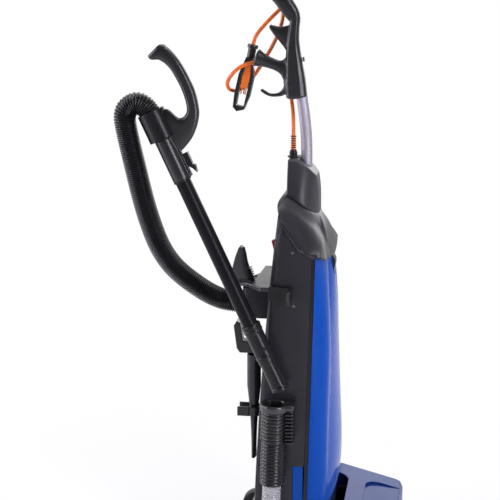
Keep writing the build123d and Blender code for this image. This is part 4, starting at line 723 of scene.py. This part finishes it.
def rear_corner(point):
    """The long upright corners at the back of the body's housing."""
    return abs(point.y) > 0.1312 and point.x < 0.045 and 0.15 < point.z < 0.75


def plan_rounding(x, y):
    """The width falls as sqrt(1 - 0.92 t^2) and the front draws back, t running to 1 at the front."""
    t = np.clip((x - PLAN_FROM) / PLAN_RUN, 0, 1)
    return -PLAN_BACK * t, y * (np.sqrt(1 - 0.92 * t ** 2) - 1)


def round_cap(points):
    """Rounds the cap in plan, and draws its top in to half the width as q goes from 0 to 1."""
    x, y, z = points.T
    back, inward = plan_rounding(x, y)
    q = np.clip((z - CAP_FROM) / CAP_RISE, 0, 1) ** 1.3
    return np.stack([x + back - 4 * q * np.clip(x / 20 - 1, 0, 1), (y + inward) * (1 - 0.52 * q), z - 8 * q],
                    axis=1)


def round_shoulder(points):
    """Rounds the shoulder. h runs from 0 at its foot to 1 at the cap, w from 0 at its back to 1 at its front
    and out from 0 at the centre to 1 at the sides. The foot is let down at the centre and laid over the
    housing at the sides, with a swell between foot and cap, a hollow each side of it and a fuller heel."""
    x, y, z = points.T
    back, inward = plan_rounding(x, y)
    foot = past(FOOT_POINT, FOOT_UP, x, z)
    head = past(HEAD_POINT, HEAD_DOWN, x, z)
    h = np.clip(foot / np.maximum(foot + head, 1e-3), 0, 1)
    w = np.clip((x - FOOT_POINT[0]) / SHOULDER_RUN, 0, 1)
    out = np.clip(np.abs(y) / HALF_WIDTH, 0, 1) ** 2
    swell = np.sin(np.pi * h) * w ** 2
    heel = (1 - (2 * h - 1) ** 4) * np.clip(1 - w / 0.30, 0, 1)
    low = (1 - h) * w ** 3
    side = np.clip((np.abs(y) - FRONT_HALF) / FRONT_TURN, 0, 1)
    side = side * side * (3 - 2 * side)
    run = np.clip(w / 0.89, 0, 1)
    skirt = (1 - h) * side * (SKIRT_SWAG * run * (1 - run) + SKIRT_FALL * run)
    hollow = np.exp(-((np.abs(y) - HOLLOW_AT) / HOLLOW_WIDTH) ** 2) * swell
    drop = low * (FOOT_DROP * (1 - side) + 0.10 * np.clip(FRONT_HALF - np.abs(y), 0, FRONT_HALF))
    flare = low * (FLARE - FLARE_LESS * out)
    new_x = x + h * back + flare + SWELL_OUT * swell * (1 - out) - HEEL_MOVE * heel - HOLLOW_IN * hollow
    new_y = y + h * inward + SIDE_PUSH * np.sign(y) * side * (1 - h) ** 0.7
    new_z = z - drop - skirt + SWELL_UP * swell * (1 - out) + HEEL_MOVE * heel - HOLLOW_DOWN * hollow
    return np.stack([new_x, new_y, new_z], axis=1)


def tuck_rim(points):
    """Lets the housing's sloping rim down behind the shoulder's skirt, less at the back, and draws it in."""
    x, y, z = points.T
    rim = (past(FOOT_POINT, FOOT_UP, x, z) > -5) & (np.abs(y) > 100) & (x > 14)
    down = RIM_DROP * np.clip((x - 2) / 40, 0, 1) * rim
    return np.stack([x, y - RIM_INWARD * np.sign(y) * rim, z - down], axis=1)


# Studio
# Lamps: name, place, size, power and colour.
LAMPS = (
    ("strip_right", (1.75, -1.75, 1.2), (0.40, 2.4), 46, (0.93, 0.90, 1.0)),
    ("strip_left", (-2.2, -1.0, 1.1), (0.5, 2.4), 30, (0.93, 0.90, 1.0)),
    ("edge", (-2.3, 0.25, 1.0), (0.35, 2.4), 26, (0.90, 0.86, 1.0)),
    ("overhead", (0.3, 0.3, 2.9), (1.8, 1.8), 34, (0.95, 0.93, 1.0)),
    ("behind", (0.9, 2.3, 1.6), (1.6, 1.6), 20, (0.97, 0.95, 1.0)),
)
LAMP_FOCUS = (0, 0, 0.62)
CAMERA_AIM = (-0.061, 0, 0.636)
CAMERA_TURN, CAMERA_RISE, CAMERA_AWAY = math.radians(9), math.radians(13), 2.6
CAMERA_LENS, CAMERA_SENSOR = 93.6, 36.0
FLOOR_HALF = 30.0
WHITE = (1, 1, 1, 1)


def white_rays(tree, glossy):
    """How white the background is to a ray: fully to the camera and through clear plastic, partly in
    reflections."""
    seen = add_node(tree, "ShaderNodeLightPath")
    part = math_node(tree, "MULTIPLY", seen.outputs["Is Glossy Ray"], glossy)
    clear = math_node(tree, "MAXIMUM", seen.outputs["Is Transmission Ray"], part)
    return math_node(tree, "MAXIMUM", seen.outputs["Is Camera Ray"], clear)


def aim_object(obj, place, target):
    """Puts an object at a place and points its -Z axis at the target."""
    obj.location = place
    obj.rotation_euler = (Vector(target) - Vector(place)).to_track_quat("-Z", "Y").to_euler()


class CLEANER_OT_studio(bpy.types.Operator):
    """Sets up the plain white studio: floor, world, soft lamps and the camera."""
    bl_idname = "cleaner.studio"
    bl_label = "Studio"

    def place_camera(self, scene):
        """Places the camera at the photograph's angle."""
        data = bpy.data.cameras.new("camera")
        data.lens = CAMERA_LENS
        data.sensor_width = CAMERA_SENSOR
        data.clip_end = 50
        camera = link_object("camera", data)
        level = math.cos(CAMERA_RISE)
        back = Vector((math.sin(CAMERA_TURN) * level, -math.cos(CAMERA_TURN) * level, math.sin(CAMERA_RISE)))
        aim_object(camera, Vector(CAMERA_AIM) + back * CAMERA_AWAY, CAMERA_AIM)
        scene.camera = camera

    def make_floor(self):
        """Makes a pale floor that glows white away from the object and keeps its shadow near it."""
        mesh = bpy.data.meshes.new("studio_floor")
        corners = [(x * FLOOR_HALF, y * FLOOR_HALF, 0) for x, y in ((-1, -1), (1, -1), (1, 1), (-1, 1))]
        mesh.from_pydata(corners, [], [(0, 1, 2, 3)])
        link_object("studio_floor", mesh)
        material, tree, shader = new_material("Studio floor", Base_Color=(0.86, 0.86, 0.87, 1), Roughness=0.7,
                                              Specular_IOR_Level=0.1)
        glow = add_node(tree, "ShaderNodeEmission", Strength=1.0, Color=WHITE)
        away = add_node(tree, "ShaderNodeVectorMath", operation="LENGTH")
        feed(tree, object_place(tree), away.inputs[0])
        reach = ranged(tree, away.outputs["Value"], 0.35, 1.0, 0.70, 1.0)
        mix = add_node(tree, "ShaderNodeMixShader")
        feed(tree, math_node(tree, "MULTIPLY", white_rays(tree, 0.22), reach), mix.inputs[0])
        feed(tree, shader.outputs[0], mix.inputs[1])
        feed(tree, glow.outputs[0], mix.inputs[2])
        feed(tree, mix.outputs[0], tree.nodes["Material Output"].inputs["Surface"])
        mesh.materials.append(material)

    def make_world(self, scene):
        """Makes a world that is white to the camera and lights the object mostly from behind."""
        world = bpy.data.worlds.new("studio")
        scene.world = world
        world.use_nodes = True
        tree = world.node_tree
        split = add_node(tree, "ShaderNodeSeparateXYZ")
        feed(tree, add_node(tree, "ShaderNodeTexCoord").outputs["Generated"], split.inputs[0])
        fade = ranged(tree, split.outputs["Y"], -0.25, 0.95, 0.045, 0.95)
        pick = add_node(tree, "ShaderNodeMix", data_type="FLOAT")
        for source, place in ((white_rays(tree, 0.12), 0), (fade, 2), (1.0, 3)):
            feed(tree, source, pick.inputs[place])
        ground = tree.nodes["Background"]
        feed(tree, pick.outputs[0], ground.inputs["Strength"])
        ground.inputs["Color"].default_value = WHITE

    def execute(self, context):
        context.scene.view_settings.view_transform = "Standard"
        self.place_camera(context.scene)
        self.make_floor()
        self.make_world(context.scene)
        for name, place, size, power, colour in LAMPS:
            data = bpy.data.lights.new(name, "AREA")
            data.shape = "RECTANGLE"
            data.size, data.size_y = size
            data.energy = power
            data.color = colour
            aim_object(link_object(name, data), place, LAMP_FOCUS)
        return {"FINISHED"}


# The object's pieces
class CLEANER_OT_lead(bpy.types.Operator):
    """Makes the orange lead and the plug in its yoke."""
    bl_idname = "cleaner.lead"
    bl_label = "Lead and plug"

    def execute(self, context):
        sizes = context.scene.cleaner_sizes
        lead = nurbs_object("lead", LEAD_ROUTE, 16)
        lead.data.bevel_depth = sizes.lead_diameter / 2
        lead.data.bevel_resolution = 6
        lead.data.use_fill_caps = True
        lead.data.materials.append(finish_of("orange lead"))
        _, far = evenly(route_line(LEAD_ROUTE), 0.004)
        stand_for(lead, "mains_cord")
        yoke = cast_piece("cord_yoke", "black casting", 0.0007, 4)
        plug = shell_piece("plug_body", "orange lead")
        return {"FINISHED"}


class CLEANER_OT_suction_hose(bpy.types.Operator):
    """Makes the ribbed suction hose between the body's inlet and the wand."""
    bl_idname = "cleaner.suction_hose"
    bl_label = "Suction hose"

    def execute(self, context):
        sizes = context.scene.cleaner_sizes
        line = route_line(HOSE_ROUTE)
        path, at = evenly(line, sizes.hose_pitch / 8)
        radius = sizes.hose_diameter / 2 - sizes.hose_groove * (1 - ribs(at, sizes.hose_pitch) ** 0.7)
        hose = carried_tube("suction_hose", path, radius, "hose black", around=44)
        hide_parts("vacuum_hose")
        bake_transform(hose)
        return {"FINISHED"}


# The cuff's mouth, and the direction from the lower hose up to it.
CUFF_MOUTH = np.array([0.0122, SIDE_Y, 0.374])
CUFF_TILT = math.radians(1.7)
CUFF_AXIS = np.array([math.sin(CUFF_TILT), 0, math.cos(CUFF_TILT)])
# From the mouth: the sleeve's ribs start and end, and the black hose starts; then the hose's length.
SLEEVE_TOP, SLEEVE_END, HOSE_TOP = 0.0145, 0.0765, 0.0763
BLACK_LENGTH = 0.0885
# Radius in the sleeve's grooves and the rise of its ribs; radius over the ribs and depth of the grooves of
# the black hose and of the clear one.
SLEEVE_GROOVE, SLEEVE_RIB = 0.0226, 0.0032
BLACK_RADIUS, BLACK_GROOVE = 0.0240, 0.0020
CLEAR_RADIUS, CLEAR_GROOVE = 0.0185, 0.0016
CLEAR_BOW, CLEAR_WALL = 0.0016, 0.0012
# The wire in the clear hose: radius of its coil and its own.
COIL_RADIUS, WIRE_RADIUS = 0.0158, 0.0007
# The short ribs beside the cuff: how many, the first one below the mouth, half height, and corners in x, y.
SHORT_RIBS, SHORT_FROM, SHORT_HALF = 9, 0.0195, 0.0019
SHORT_LOW, SHORT_HIGH = (0.0325, -0.1735), (0.0495, -0.1400)
ELBOW_TOP = np.array([0.0, SIDE_Y, 0.116])
# The ring on top of the cuff and its bore: distance from the mouth, and radius.
CUFF_RING = ((-0.0143, 0.0256), (-0.0138, 0.0274), (-0.0125, 0.0282), (-0.0030, 0.0284), (-0.0012, 0.0280),
             (-0.0003, 0.0268), (0.0, 0.0250), (-0.0002, 0.0212), (-0.0012, 0.0196), (-0.0030, 0.0190),
             (-0.0700, 0.0188), (-SLEEVE_END, 0.0186))
# What holds the cuff to the body: name, low corner, high corner and edge.
CUFF_BLOCKS = (
    ("cuff_flange", (0.030, -0.1745, 0.3625), (0.0505, -0.1325, 0.3735), 0.0018),
    ("cuff_spine", (0.030, -0.1650, 0.3020), (0.0475, -0.1325, 0.3640), 0.0015),
    ("cuff_web", (0.001, -0.1445, 0.3605), (0.0245, -0.1322, 0.3735), 0.0015),
)


class CLEANER_OT_side_hose(bpy.types.Operator):
    """Makes the wand's cuff, the black hose under it, the clear hose and the elbow."""
    bl_idname = "cleaner.side_hose"
    bl_label = "Cuff and lower hoses"

    def make_cuff(self, pitch):
        """Makes the ribbed sleeve with its ring and bore, the short ribs beside it and what holds it."""
        at = np.linspace(-SLEEVE_END, -SLEEVE_TOP, 260)
        radius = SLEEVE_GROOVE + SLEEVE_RIB * ribs(at + SLEEVE_TOP, pitch) ** 1.6
        sleeve = np.stack([at, radius], axis=1)
        profile = np.vstack([sleeve, CUFF_RING])
        cuff = turned("hose_cuff_skin", CUFF_MOUTH, CUFF_AXIS, profile, "cuff black", 96, close_rows=True)
        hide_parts("hose_cuff", "cuff_ribs")
        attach(cuff, "main_body")
        for index in range(SHORT_RIBS):
            height = CUFF_MOUTH[2] - SHORT_FROM - index * pitch
            low, high = (*SHORT_LOW, height - SHORT_HALF), (*SHORT_HIGH, height + SHORT_HALF)
            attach(block("cuff_ridge_%d" % index, low, high, "cuff black", 0.0012), "main_body")
        for name, low, high, edge in CUFF_BLOCKS:
            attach(block(name, low, high, "cuff black", edge), "main_body")

    def make_clear_hose(self, top, pitch):
        """Makes the clear hose down to the elbow, with a slight bow and a wire coiled inside its wall."""
        span = np.linspace(0, 1, 240)
        path = top[None, :] * (1 - span[:, None]) + ELBOW_TOP[None, :] * span[:, None]
        path[:, 0] += CLEAR_BOW * np.sin(np.pi * span)
        along = span * np.linalg.norm(top - ELBOW_TOP)
        radius = CLEAR_RADIUS - CLEAR_GROOVE * (1 - ribs(along, pitch))
        clear = carried_tube("clear_hose_skin", path, radius, "clear hose", 56, cap=False)
        add_modifier(clear, "SOLIDIFY", thickness=CLEAR_WALL, offset=-1)
        bake_modifiers(clear)
        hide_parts("clear_hose")
        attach(clear, "main_body")
        fine = np.linspace(0.02, 0.98, 1500)
        centre = np.stack([np.interp(fine, span, path[:, k]) for k in range(3)], axis=1)
        phase = np.interp(fine, span, along / pitch * 2 * np.pi)
        turn = np.stack([np.cos(phase), np.sin(phase), np.zeros_like(phase)], axis=1)
        coil = centre + COIL_RADIUS * turn
        wire = carried_tube("clear_hose_wire", coil, np.full(len(coil), WIRE_RADIUS), "zinc plate", 8)
        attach(wire, "main_body")

    def execute(self, context):
        pitch = context.scene.cleaner_sizes.low_pitch
        self.make_cuff(pitch)
        at = np.linspace(0, BLACK_LENGTH, int(BLACK_LENGTH / pitch * 16))
        start = CUFF_MOUTH - CUFF_AXIS * HOSE_TOP
        path = start[None, :] - at[:, None] * CUFF_AXIS[None, :]
        radius = BLACK_RADIUS - BLACK_GROOVE * (1 - ribs(at, pitch) ** 0.8)
        black = carried_tube("lower_hose_skin", path, radius, "hose black", 56)
        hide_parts("lower_hose")
        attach(black, "main_body")
        self.make_clear_hose(start - CUFF_AXIS * BLACK_LENGTH, pitch * 0.8)
        cast_piece("suction_elbow", "black gloss", None, 5)
        return {"FINISHED"}


class CLEANER_OT_body(bpy.types.Operator):
    """Dresses the body's shells: housing, shoulder, cap, seal and the blue panels."""
    bl_idname = "cleaner.body"
    bl_label = "Body shells"

    def execute(self, context):
        housing = shell_piece("rear_housing", "charcoal shell", 0.0010, 2, corner=(rear_corner, 0.0085))
        move_points(housing, tuck_rim)
        cast_piece("shoulder_cover", "charcoal shell", 0.0020, 16, "_skin", round_shoulder)
        cast_piece("top_cap", "charcoal cap", 0.0016, 14, "_skin", round_cap)
        for side in (-1, 1):
            near, far = sorted((side * 0.1308, side * 0.096))
            fill = block("shoulder_return_%d" % (side + 1), (0.0700, near, 0.6560), (0.0880, far, 0.6620),
                         "charcoal shell", 0.0010)
            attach(fill, "main_body")
        dress_all((("door_seal", "black satin", 0.0008, 2),
                   ("lower_housing", "blue gloss"),
                   ("bag_door", "blue gloss"),
                   ("door_latch", "charcoal smooth", 0.0010),
                   ("motor_base", "charcoal shell", 0.0010, 2),
                   ("power_switch", "switch red", 0.0008)),
                  (("body_screws", "dark steel"), ("exhaust_grille", "black satin"),
                   ("compartment_floor", "charcoal shell"), ("motor_filter", "filter felt"),
                   ("filter_bag", "bag paper"), ("bag_collar", "black gloss"),
                   ("suction_motor", "motor case"), ("fan_impeller", "charcoal smooth")))
        return {"FINISHED"}


# The handle casting's limbs, in mm in the XZ plane: two outlines, half depths, power and ridges.
HANDLE_LIMBS = (
    ([(10.5, 942.6), (9.2, 960), (8.6, 985), (8.7, 1010), (9.5, 1030), (12, 1055), (15.5, 1078), (15, 1094),
      (3, 1106), (-12, 1122)],
     [(51, 947), (49.6, 960), (46.5, 985), (42, 1010), (38, 1032), (35.2, 1055), (35.4, 1078), (36.8, 1098),
      (32, 1113), (20, 1132)],
     [14, 14, 14, 13.6, 13.3, 13, 13, 13, 13, 12.5], 3.0, ((-0.05, 0.07), (0.42, 0.08))),
    ([(13, 1090), (-2, 1107), (-17, 1126), (-40, 1142)],
     [(36, 1099), (27, 1120), (12, 1146), (2, 1168)],
     [12.5, 12.5, 12.5, 12.5], 2.8, ((0.42, 0.08),)),
    ([(20, 1085), (13, 1080.6), (-0.6, 1077.7), (-11.4, 1079.4), (-21, 1081.5)],
     [(20, 1010), (8.2, 1033.6), (-0.4, 1045.5), (-14.1, 1061.4), (-22.5, 1073.5)],
     [9, 8.6, 8.2, 8.0, 7.6], 2.3, ((-0.72, 0.06),)),
    ([(16, 1032), (6, 1017), (-1.6, 1013.4), (-13.9, 1017.2), (-28, 1023.6), (-37, 1030.5), (-40.8, 1034.5)],
     [(14, 958), (5, 974.4), (-1.4, 986.4), (-13.8, 994.3), (-33.0, 1000.0), (-46, 1001.4), (-52.5, 1001.6)],
     [11, 9.5, 8.4, 8.2, 9.6, 11.4, 12.6], 2.1, ()),
    ([(14, 985), (4.8, 974.4), (5.2, 964.9), (0.1, 955.3), (-8.1, 950.4), (-20.5, 949.9), (-30.1, 954.8),
      (-36.4, 958.6)],
     [(20, 960), (14, 958), (12, 951), (4, 945.5), (-6, 943.4), (-18.5, 943.1), (-30, 946.6), (-40.6, 953.8)],
     [8, 7.4, 6.6, 5.6, 5.0, 4.4, 4.2, 4.6], 2.1, ()),
)
# The handle's loop: centre, lean, half axes inside and outside, and half depth.
LOOP_CENTRE, LOOP_LEAN = (-40, 1190), math.radians(110)
LOOP_INNER, LOOP_OUTER, LOOP_HALF = (42, 23), (61.5, 42.5), 12.8
GLAND_FOOT = (0.025, 0, 0.834)
GLAND_PROFILE = (
    (-0.0086, 0.0020), (-0.0086, 0.0108), (-0.0080, 0.0114), (-0.0060, 0.0114), (-0.0054, 0.0108),
    (-0.0052, 0.0078), (0.0, 0.0076), (0.0006, 0.0080), (0.0026, 0.0080), (0.0031, 0.0076),
    (0.0034, 0.0066), (0.0068, 0.0062), (0.0074, 0.0050), (0.0078, 0.0020),
)
CORE_PROFILE = ((0.0070, 0.0044), (0.0335, 0.0041), (0.0340, 0.0038))
# The gland's rings: how many, the first one's height, their pitch, half thickness and bore.
RING_COUNT, RING_LOW, RING_PITCH, RING_HALF, RING_BORE = 6, 0.0112, 0.00435, 0.0009, 0.0041
# Their outside radius: the first one's, how much each next one is less, and the last one's.
RING_RADIUS, RING_TAPER, RING_LAST = 0.0059, 0.00012, 0.0064


class CLEANER_OT_handle(bpy.types.Operator):
    """Dresses the bent tube, the handle casting with its cord hooks, and the lead's gland."""
    bl_idname = "cleaner.handle"
    bl_label = "Handle"

    def make_loop(self):
        """Makes the leaning closed loop between two ellipses."""
        angle = around_circle(24)
        cos, sin = math.cos(LOOP_LEAN), math.sin(LOOP_LEAN)
        turn = np.array([[cos, sin], [-sin, cos]])
        lines = []
        for wide, tall in (LOOP_INNER, LOOP_OUTER):
            line = np.stack([wide * np.cos(angle), tall * np.sin(angle)], axis=1) @ turn + LOOP_CENTRE
            lines.append(np.vstack([line, line[:1]]))
        return limb(*lines, [LOOP_HALF] * 25, 2.2, count=161, closed=True)[:-1]

    def make_gland(self):
        """Makes the gland's nut, the orange core and the rings round it."""
        up = (0, 0, 1)
        gland = turned("gland_sleeve", GLAND_FOOT, up, GLAND_PROFILE, "black satin", 40, cap=True)
        stand_for(gland, "cable_gland")
        core = turned("gland_core", GLAND_FOOT, up, CORE_PROFILE, "orange lead", 32, cap=True)
        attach(core, "main_body")
        angle = around_circle(12)
        for index in range(RING_COUNT):
            wide = RING_LAST if index == RING_COUNT - 1 else RING_RADIUS - RING_TAPER * index
            height = RING_LOW + RING_PITCH * index + RING_HALF * np.sin(angle)
            radius = (wide + RING_BORE) / 2 + (wide - RING_BORE) / 2 * np.cos(angle)
            ring = np.stack([height, radius], axis=1)
            hoop = turned("gland_ring_%d" % index, GLAND_FOOT, up, np.vstack([ring, ring[:1]]), "black satin",
                          32)
            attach(hoop, "main_body")

    def execute(self, context):
        shell_piece("handle_tube", "tube steel", 0.0, angle=40)
        stem, neck, *arms = [limb(*row) for row in HANDLE_LIMBS]
        parts = [stem, neck, self.make_loop(), *arms]
        fused("handle_casting", "handle_grip", "black casting", parts, None, 7, closed=(2,))
        self.make_gland()
        return {"FINISHED"}


# The horn of the rear hook and its grip ridges, in mm: the ridges' lowest height, pitch and lean.
HORN = ([(-91, 580), (-90.5, 594), (-86.5, 611), (-81.5, 628), (-76, 643), (-71.5, 651)],
        [(-44, 580), (-47, 592), (-53.5, 607), (-58.5, 622), (-61.5, 638), (-64.5, 650.5)],
        [10, 10, 9.6, 8.6, 6.6, 4.6])
HORN_ORIGIN = (0, -0.041, 0)
TREAD_LOW, TREAD_PITCH, TREAD_LEAN, TREAD_X = 588, 4.4, 0.36, -45.5


class CLEANER_OT_rear(bpy.types.Operator):
    """Dresses what is on the back: hose inlet, hooks, tool clip, crevice tool and the wand's clip."""
    bl_idname = "cleaner.rear"
    bl_label = "Rear fittings"

    def execute(self, context):
        shell_piece("hose_inlet", "charcoal shell", 0.0020, 4)
        # The hook, its horn and its ridges take the charcoal lifted by half, a painted highlight.
        cast_piece("rear_hook", "hook grey", 0.0011, 6)
        horn = grid_object("rear_horn", limb(*HORN, 2.2, origin=HORN_ORIGIN), "hook grey", cap=True)
        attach(horn, "main_body")
        for index in range(context.scene.cleaner_sizes.tread_count):
            lift = TREAD_LOW + TREAD_PITCH * index
            x = TREAD_X - TREAD_LEAN * (lift - TREAD_LOW)
            bar = limb([(x - 9, lift - 2), (x - 3, lift - 1.2), (x + 2.2, lift + 0.6)],
                       [(x - 9, lift + 0.2), (x - 3, lift + 0.8), (x + 2.6, lift + 2.0)],
                       [8.6, 9.2, 8.2], 2.2, origin=HORN_ORIGIN, around=20, count=16)
            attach(grid_object("horn_ridge_%d" % index, bar, "hook grey", cap=True), "main_body")
        cast_piece("lower_hook", "charcoal smooth", 0.0010, 8)
        cast_piece("tool_clip", "charcoal smooth", 0.0008, 6)
        dress_all((("crevice_tool", "charcoal smooth", 0.0008), ("wand_clip", "black satin")))
        return {"FINISHED"}


# The wand: its open tip, and its directions along and across, 25 degrees off upright.
WAND_TIP = np.array([0.0244, SIDE_Y, 0.4008])
WAND_LEAN = math.radians(25)
WAND_ALONG = np.array([-math.sin(WAND_LEAN), 0, math.cos(WAND_LEAN)])
WAND_ACROSS = np.array([math.cos(WAND_LEAN), 0, math.sin(WAND_LEAN)])
# The tip adapter and the band under the sleeve: distance along and radius.
ADAPTER_PROFILE = (
    (0.0, 0.0142), (0.0, 0.0162), (0.0008, 0.0171), (0.0022, 0.0174), (0.0075, 0.0174),
    (0.0085, 0.0166), (0.0300, 0.0160), (0.0460, 0.0157), (0.0560, 0.0161), (0.0640, 0.0172),
    (0.0700, 0.0174), (0.0712, 0.0184), (0.0726, 0.0186), (0.0748, 0.0186), (0.0760, 0.0180),
    (0.0775, 0.0176), (0.1240, 0.0176), (0.1256, 0.0181), (0.1270, 0.0186), (0.1298, 0.0186),
    (0.1312, 0.0179), (0.1326, 0.0179), (0.1340, 0.0186), (0.1395, 0.0186), (0.1410, 0.0176),
    (0.1410, 0.0149), (0.0400, 0.0149), (0.0400, 0.0142),
)
BAND_AT = 0.4412
BAND_PROFILE = ((0.0, 0.0150), (0.0, 0.0168), (0.0006, 0.0174), (0.0030, 0.0175), (0.0036, 0.0168),
                (0.0042, 0.0150))
# The grip's limbs, in mm across and along the wand from its tip: web, nose and rail.
GRIP_LIMBS = (
    ([(12, 492), (31, 497), (57, 512), (81, 540), (92, 575), (94, 610), (91, 645), (82, 674), (70, 686.5)],
     [(12, 574), (31, 575), (44, 551), (60, 553), (68, 568), (71.6, 598), (68.5, 638), (58, 660), (45, 667)],
     [8.6, 8.8, 9.6, 10.4, 10.8, 11, 11, 11, 10], 2.5),
    ([(78, 683), (68, 687), (54, 682.5), (41.5, 678)],
     [(62, 655), (57, 662), (50, 665), (44.5, 667.5)],
     [10.8, 10.6, 9.8, 7.5], 2.4),
    ([(10, 446), (10, 470), (10, 500), (10, 520)],
     [(22.4, 446), (22.4, 470), (22.4, 500), (22.4, 520)],
     [5.8] * 4, 5.0),
)
# The grip's sleeve, in mm: start, end of its lead-in, end, radius at the start, rise and full radius.
SLEEVE_FROM, SLEEVE_LEAD, SLEEVE_TO = 443, 446, 527
SLEEVE_START, SLEEVE_RISE, SLEEVE_RADIUS = 16.3, 0.35, 17.4


class CLEANER_OT_wand(bpy.types.Operator):
    """Dresses the lift-off wand: tube, tip adapter, sleeve with its grip, collar, latch and button."""
    bl_idname = "cleaner.wand"
    bl_label = "Wand"

    def make_sleeve(self):
        """Makes the sleeve round the tube that carries the grip, as rings of points."""
        at = np.linspace(SLEEVE_FROM, SLEEVE_TO, 40)
        radius = np.where(at < SLEEVE_LEAD, SLEEVE_START + SLEEVE_RISE * (at - SLEEVE_FROM), SLEEVE_RADIUS)
        angle = around_circle(64)[None, :, None]
        ring = np.cos(angle) * WAND_ACROSS + np.sin(angle) * np.array([0, 1.0, 0])
        return WAND_TIP + 0.001 * (at[:, None, None] * WAND_ALONG + radius[:, None, None] * ring)

    def execute(self, context):
        shell_piece("wand_tube", "wand black", 0.0, angle=40)
        coarse = np.asarray(ADAPTER_PROFILE)
        knots = np.arange(len(coarse))
        step = np.linspace(0, knots[-1], 6 * knots[-1] + 1)
        profile = np.stack([np.interp(step, knots, coarse[:, k]) for k in (0, 1)], axis=1)
        adapter = turned("wand_adapter_skin", WAND_TIP, WAND_ALONG, profile, "black gloss", 80,
                         close_rows=True)
        stand_for(adapter, "wand_adapter")
        place = {"origin": WAND_TIP, "across": WAND_ACROSS, "along": WAND_ALONG}
        web, nose, rail = [limb(*row, **place) for row in GRIP_LIMBS]
        fused("wand_handle", "wand_grip", "black casting", [web, nose, self.make_sleeve(), rail], 0.0011, 5)
        band = turned("wand_sleeve_band", WAND_TIP + WAND_ALONG * BAND_AT, WAND_ALONG, BAND_PROFILE,
                      "black gloss", 72, close_rows=True)
        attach(band, "wand")
        dress_all((("hose_collar", "black gloss", 0.0014, 4), ("wand_latch", "black satin", 0.0008),
                   ("adapter_button", "black satin", 0.0006)))
        return {"FINISHED"}


class CLEANER_OT_head(bpy.types.Operator):
    """Dresses the power head: hood, chassis, wheels, brush, rollers, pedal and knob."""
    bl_idname = "cleaner.head"
    bl_label = "Power head"

    def execute(self, context):
        dress_all((("hood", "blue hood", 0.0022, 4),
                   ("head_chassis", "charcoal shell", 0.0015),
                   ("bumper", "black rubber"),
                   ("sole_plate", "dark steel", 0.0004),
                   ("rear_wheel_left", "black rubber", 0.0008),
                   ("rear_wheel_right", "black rubber", 0.0008),
                   ("release_pedal", "black satin", 0.0015),
                   ("height_knob", "black gloss", 0.0008)),
                  (("rear_axle", "zinc plate"), ("pivot_pin", "zinc plate"),
                   ("suction_trunnion", "black satin"), ("brush_core", "charcoal smooth"),
                   ("brush_bristles", "bristle"), ("brush_bearings", "black satin"),
                   ("brush_motor", "motor case"), ("motor_pulley", "zinc plate"),
                   ("drive_belt", "black rubber"), ("roller_carriage", "dark steel"),
                   ("front_rollers", "black gloss")))
        return {"FINISHED"}


STEPS = ("studio", "lead", "wand", "suction_hose", "side_hose", "body", "handle", "rear", "head")


class CLEANER_PT_panel(bpy.types.Panel):
    """Lists the steps and the sizes and colours that they use."""
    bl_idname = "CLEANER_PT_panel"
    bl_label = "Cleaner"
    bl_space_type = "VIEW_3D"
    bl_region_type = "UI"
    bl_category = "Cleaner"

    def draw(self, context):
        """Draws a button for each step, then the sizes and the colours."""
        column = self.layout.column()
        for step in STEPS:
            column.operator("cleaner." + step)
        for group in (context.scene.cleaner_sizes, context.scene.cleaner_colours):
            for key in group.__annotations__:
                column.prop(group, key)


CLASSES = (CleanerSizes, CleanerColours, CLEANER_OT_studio, CLEANER_OT_lead, CLEANER_OT_suction_hose,
           CLEANER_OT_side_hose, CLEANER_OT_body, CLEANER_OT_handle, CLEANER_OT_rear, CLEANER_OT_wand,
           CLEANER_OT_head, CLEANER_PT_panel)


def register():
    """Registers the classes and puts the sizes and colours on the scene."""
    for cls in CLASSES:
        bpy.utils.register_class(cls)
    bpy.types.Scene.cleaner_sizes = PointerProperty(type=CleanerSizes)
    bpy.types.Scene.cleaner_colours = PointerProperty(type=CleanerColours)


def unregister():
    """Takes the sizes and colours off the scene and the classes away."""
    del bpy.types.Scene.cleaner_colours
    del bpy.types.Scene.cleaner_sizes
    for cls in reversed(CLASSES):
        bpy.utils.unregister_class(cls)


def main():
    """Registers the add-on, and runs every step."""
    register()
    for step in STEPS:
        getattr(bpy.ops.cleaner, step)()
    bpy.context.view_layer.update()


if __name__ == "__main__":
    main()
